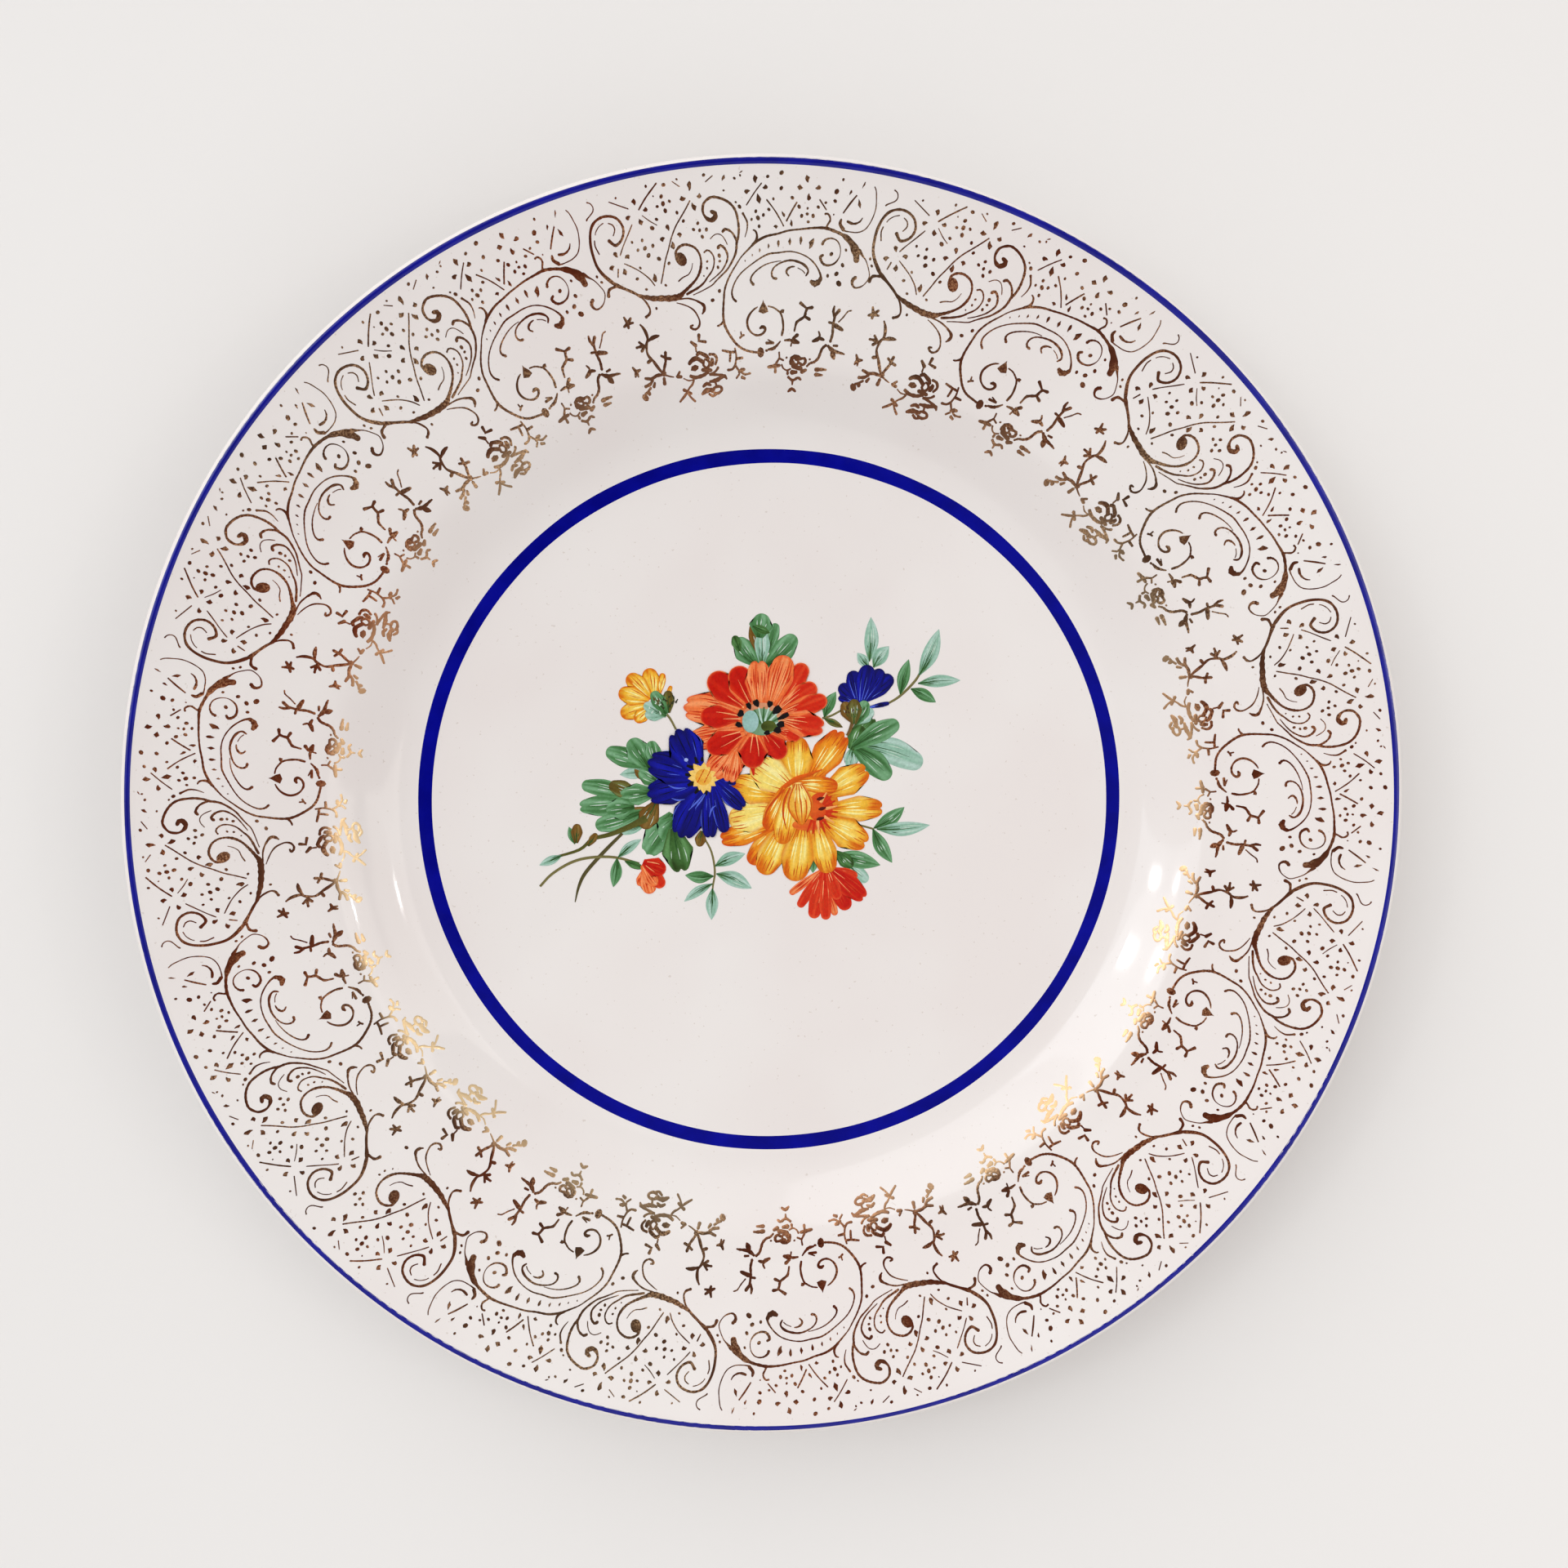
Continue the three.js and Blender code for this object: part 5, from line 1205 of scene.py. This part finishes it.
def yellow_flower(yellow, red):
    flower = Paint("flower_yellow")
    flower.disc((5.6, -.6), (8, 7), YELLOW)
    petals = (
        ((6, 3.6), (9.6, 10.4), 6.4, AMBER, 0), ((7.4, 5.2), (14.4, 15.2), 6.6, AMBER, 3),
        ((4.8, 3.6), (4.6, 14.2), 7, YELLOW, 2), ((10.4, 2.2), (19.6, 7.4), 6.4, YELLOW, 2),
        ((11.6, -1), (22.9, -.8), 5.4, YELLOW, 2), ((10.6, -3.4), (19.6, -8.4), 6.8, YELLOW, 2),
        ((9, -4), (11.6, -14.4), 5.4, YELLOW, 0), ((1.2, -4.4), (-5, -12.4), 4.4, AMBER, 0),
        ((2.2, -4.4), (-2.4, -14.6), 5.8, YELLOW, 0), ((6, -4), (4.2, -16.1), 6.8, YELLOW, 0),
        ((-.5, -4.6), (-11.2, -7.4), 4.8, AMBER, 2), ((.5, -1.4), (-9.4, -3.4), 6.8, PALE_YELLOW, 0),
        ((1, 2), (-9.2, 4.4), 6.6, YELLOW, 2), ((3.6, 3.4), (-4.6, 8.6), 7.6, PALE_YELLOW, 0),
        ((3.8, 4.6), (13.3, 3.8), 3.6, AMBER, 0), ((2.4, 3.6), (-1.4, -5.4), 4.4, AMBER, 0),
        ((3.4, 3.2), (1.6, -8.3), 4.6, YELLOW, 0),
    )
    for base, tip, width, style, lobes in petals:
        shape = Petal(base, tip, width, lobes=lobes)
        flower.coat(shape, style)
        flower.streak_all(shape, YELLOW_STREAKS)
    flower.stem([(2, 3.6), (4.4, 5.2), (7, 6.2), (10, 7.3)], (.9, 1.1, .7, .2), rgb(214, 88, 14))
    for line in ([(3.4, 3.6), (2.2, 1), (1.9, -2), (2.6, -5.2)],
                 [(2.2, 3.2), (0, .8), (-1.6, -1.6), (-2, -4.4)]):
        flower.stem(line, (.3, .5, .4, .15), rgb(200, 74, 12))
    flower.build(yellow)
    centre = Paint("flower_yellow_centre")
    centre.disc((9.7, -.6), (2.6, 3.1), plain(rgb(202, 46, 12), rgb(222, 96, 30)))
    centre.disc((7, -4.3), (3.2, 1.2), plain(rgb(214, 78, 26), rgb(226, 110, 40)))
    for i in range(12):
        turn = math.radians(62 - 16 * i)
        near = (8.8 + 2 * math.cos(turn), -1.4 + 2 * math.sin(turn))
        far = (8.8 + 4.6 * math.cos(turn), -1.4 + (4.4 if i < 7 else 4.8) * math.sin(turn))
        centre.stem([near, far], (.7, .25), rgb(202, 48, 12) if i % 3 else rgb(238, 166, 96))
    for x, y in ((9.6, 1.2), (10, -.9), (9.6, -3)):
        centre.stem([(x - .7, y - .15), (x, y), (x + .9, y + .25)], (.3, .75, .2), rgb(84, 16, 8))
    oval = Petal((5, 4.6), (5.8, -4.4), 5.4, .5, .3, .25)
    centre.coat(oval, HEART_YELLOW, (20, 17))
    for v in (-.97, -.4, .1, .55, .97):
        centre.mark(oval, (v * .8, v), (.03, .94), (.22, .3, .3, .12), BURNT)
    centre.streaks(oval, 4, LEMON, (.12, .2), (.4, .55), (.1, .34, .05), .6)
    centre.build(red)


def bud(name, petals, accents, material):
    """A bud: petals of (base, tip, width, style), each with the same streaks."""
    paint = Paint(name)
    for base, tip, width, style in petals:
        shape = Petal(base, tip, width, root=.3, lobes=2 if width > 4.2 else 0)
        paint.coat(shape, style, LEAF_GRID)
        paint.streak_all(shape, accents)
    return paint.build(material)


def calyx(name, sepals, stems, specks, material):
    """A bud's cup of sepals on its stem, with dark flecks scattered over part of it."""
    paint = Paint(name)
    for points, widths, colour in stems:
        paint.stem(points, widths, colour)
    for base, tip, width, style in sepals:
        leaf(paint, base, tip, width, style, LOBE)
    for x, y, spread, count, colour in specks:
        for _ in range(count):
            near = (x + paint.rng.uniform(-spread, spread), y + paint.rng.uniform(-spread, spread))
            far = (near[0] + paint.rng.uniform(-.5, .5), near[1] + paint.rng.uniform(.2, .9))
            paint.stem([near, far], (.4, .15), colour)
    return paint.build(material)


def buds(yellow, blue, red, green):
    bud("bud_yellow", [
        ((-25, 22), (-26, 28.2), 4, YELLOW), ((-25.5, 22), (-30.3, 26.8), 4, YELLOW),
        ((-26, 20.5), (-31.8, 18.6), 3.8, YELLOW), ((-26, 19.8), (-28.8, 17.2), 3, YELLOW),
        ((-26, 21.5), (-32.2, 23.3), 4, YELLOW), ((-23.7, 23), (-23.1, 27.2), 1.6, YELLOW),
        ((-22.4, 22), (-21.4, 24.6), 1, YELLOW)],
        [(3, BURNT, (.2, .4), (.6, .9), (.05, .2, .05), .8),
         (2, LEMON, (.1, .2), (.5, .85), (.05, .3, .05), .8)], yellow)
    calyx("bud_yellow_calyx", [
        ((-22.4, 18.8), (-26.8, 18.6), 2.8, PALE_GREEN), ((-22.4, 18.4), (-27, 20.8), 2.8, PALE_GREEN),
        ((-22, 19), (-22, 23.6), 2.6, OLIVE), ((-22.4, 18.8), (-25.2, 23.4), 3, GREEN)],
        [([(-22.9, 19.4), (-21.6, 17.8), (-20.4, 15.6)], (.5, .4), STEM)],
        [(-21.8, 21, 1.3, 12, rgb(48, 50, 28)), (-23.8, 21.2, 1.2, 7, rgb(92, 76, 42)),
         (-24.6, 20, 1.5, 5, RIB_PALE)], green)
    bud("bud_blue", [
        ((18, 21.4), (24.6, 26.8), 3.8, BLUE), ((18.2, 21), (22.4, 28.2), 3.4, BLUE),
        ((17.2, 21.4), (13.6, 25), 3.4, BLUE), ((16.8, 21.2), (13.3, 22.3), 1.6, BLUE),
        ((17.4, 21.4), (16.2, 27.9), 3.6, BLUE), ((18, 21.2), (19.6, 29.1), 4.2, BLUE),
        ((19.4, 20.2), (24, 21.2), 1, BLUE)],
        [(3, SKY, (.05, .15), (.4, .8), (.2, .14, .04), .8),
         (3, INK_BLUE, (.3, .4), (.8, .96), (.05, .22, .05), .8)], blue)
    calyx("bud_blue_calyx", [
        ((17, 17), (20.6, 19.8), 3, PALE_GREEN), ((16.4, 17.2), (14.4, 21.4), 3.2, BROWN),
        ((16.9, 16.8), (19.2, 21.6), 3.4, GREEN), ((16.6, 16.8), (16.6, 22), 3.4, OLIVE)],
        [([(16.4, 17.4), (15.8, 15.6), (15.2, 14.4)], (.8, .5), rgb(112, 84, 46))],
        [(15.4, 19, 1, 6, rgb(70, 44, 20)), (17.6, 19.4, 1.2, 5, rgb(60, 92, 44))], green)
    fiery = [(2, LIGHT_ORANGE, (.05, .2), (.4, .7), (.14, .18, .05), .8),
             (4, BRICK, (.3, .5), (.8, .95), (.05, .25, .05), .8)]
    bud("bud_red_left", [
        ((-27.4, -14), (-28, -17), 1.8, ORANGE), ((-27, -13.4), (-25.6, -18.6), 3.6, ORANGE),
        ((-27, -12.8), (-23, -17.2), 3.2, RED), ((-27.4, -12.6), (-24.6, -17), 3, ORANGE),
        ((-27.2, -12), (-22.6, -14), 4.2, DEEP_RED)], fiery, red)
    bud("bud_red_lower", [
        ((10, -13.8), (3.4, -18.8), 1.7, ORANGE), ((10.2, -14), (5.3, -21.6), 2.2, RED),
        ((10.6, -14), (13, -23.4), 1.8, ORANGE), ((10.4, -14), (8.3, -24), 3.2, RED),
        ((10.8, -14), (11, -24.3), 2.6, RED), ((12, -13.5), (17.6, -15.2), 2.2, RED),
        ((11.4, -13.6), (15.6, -22.2), 3.8, DEEP_RED), ((11.6, -13.4), (19.2, -19.9), 4.6, DEEP_RED),
        ((11.2, -13.4), (13.6, -20), 2.6, RED)], fiery, red)


# ---------------------------------------------------------------- floor, light and camera


def floor():
    n = Nodes("pale_floor")
    n.set(Base_Color=n.mix(n.noise(6), rgb(239, 236, 234), rgb(242, 239, 237)), Roughness=0.7)
    bpy.ops.mesh.primitive_plane_add(size=FLOOR_SIZE, location=(0, 0, -FLOOR_GAP))
    plane = bpy.context.object
    plane.name = "floor"
    plane.data.materials.append(n.material)


def hang(name, kind, place, power, colour):
    """A lamp in its place, facing the middle of the plate."""
    lamp = bpy.data.lights.new(name, kind)
    lamp.energy = power
    lamp.color = colour
    holder = bpy.data.objects.new(name, lamp)
    holder.location = place
    holder.rotation_euler = (AIM - Vector(place)).to_track_quat("-Z", "Y").to_euler()
    bpy.context.scene.collection.objects.link(holder)
    return lamp


def lamps():
    """Daylight, as a wide soft disc of sky, and the square lamps."""
    place, strength, width, colour = KEY
    hang("key", "SUN", place, strength, colour).angle = math.radians(width)
    for name, place, size, power, colour in LAMPS:
        lamp = hang(name, "AREA", place, power, colour)
        lamp.shape = "SQUARE"
        lamp.size = size


def room():
    """A pale room all round, a little dimmer at the horizon and dark straight overhead."""
    world = bpy.data.worlds.new("room")
    bpy.context.scene.world = world
    world.use_nodes = True
    tree = world.node_tree
    sky = tree.nodes["Background"]
    coordinate = tree.nodes.new("ShaderNodeTexCoord")
    split = tree.nodes.new("ShaderNodeSeparateXYZ")
    ramp = tree.nodes.new("ShaderNodeValToRGB")
    tree.links.new(coordinate.outputs["Generated"], split.inputs["Vector"])
    tree.links.new(split.outputs["Z"], ramp.inputs["Fac"])
    tree.links.new(ramp.outputs["Color"], sky.inputs["Color"])
    stops = ramp.color_ramp.elements
    stops[0].position, stops[0].color = ROOM[0]
    stops[1].position, stops[1].color = ROOM[-1]
    for position, colour in ROOM[1:-1]:
        stops.new(position).color = colour
    sky.inputs["Strength"].default_value = ROOM_STRENGTH


def camera():
    """Looks straight down on the plate, but for a few degrees."""
    data = bpy.data.cameras.new("camera")
    data.sensor_width = SENSOR
    data.lens = LENS
    eye = bpy.data.objects.new("camera", data)
    turn = (Matrix.Rotation(TURN_ABOUT_Y, 3, "Y") @ Matrix.Rotation(TURN_ABOUT_X, 3, "X")).transposed()
    place = (Vector((0, 0, RIM_HEIGHT)) - turn @ Vector(RIM_FROM_CAMERA)) * MM
    eye.matrix_world = Matrix.Translation(place) @ turn.to_4x4()
    bpy.context.scene.collection.objects.link(eye)
    bpy.context.scene.camera = eye


def main():
    bpy.context.scene.view_settings.view_transform = "Standard"
    camera()
    room()
    lamps()
    floor()
    plate_body(porcelain())
    band("cobalt_rim_line", *RIM_LINE, waver=0.1, lean=0.18, seed=1,
         material=cobalt("cobalt_line", index=1.5), replaced=["rim_line"])
    band("cobalt_well_ring", *WELL_RING, waver=0.08, lean=0, seed=2,
         material=cobalt("cobalt_ring", index=1.2), replaced=["well_ring"])
    gilt_border(gilt())
    red, yellow, blue, green, pale_green, brown = (
        enamel(f"{name}_paint") for name in ("red", "yellow", "blue", "green", "pale_green", "brown"))
    foliage(green, pale_green, brown)
    red_flower(red, green)
    yellow_flower(yellow, red)
    blue_flower(blue, yellow)
    buds(yellow, blue, red, green)


main()
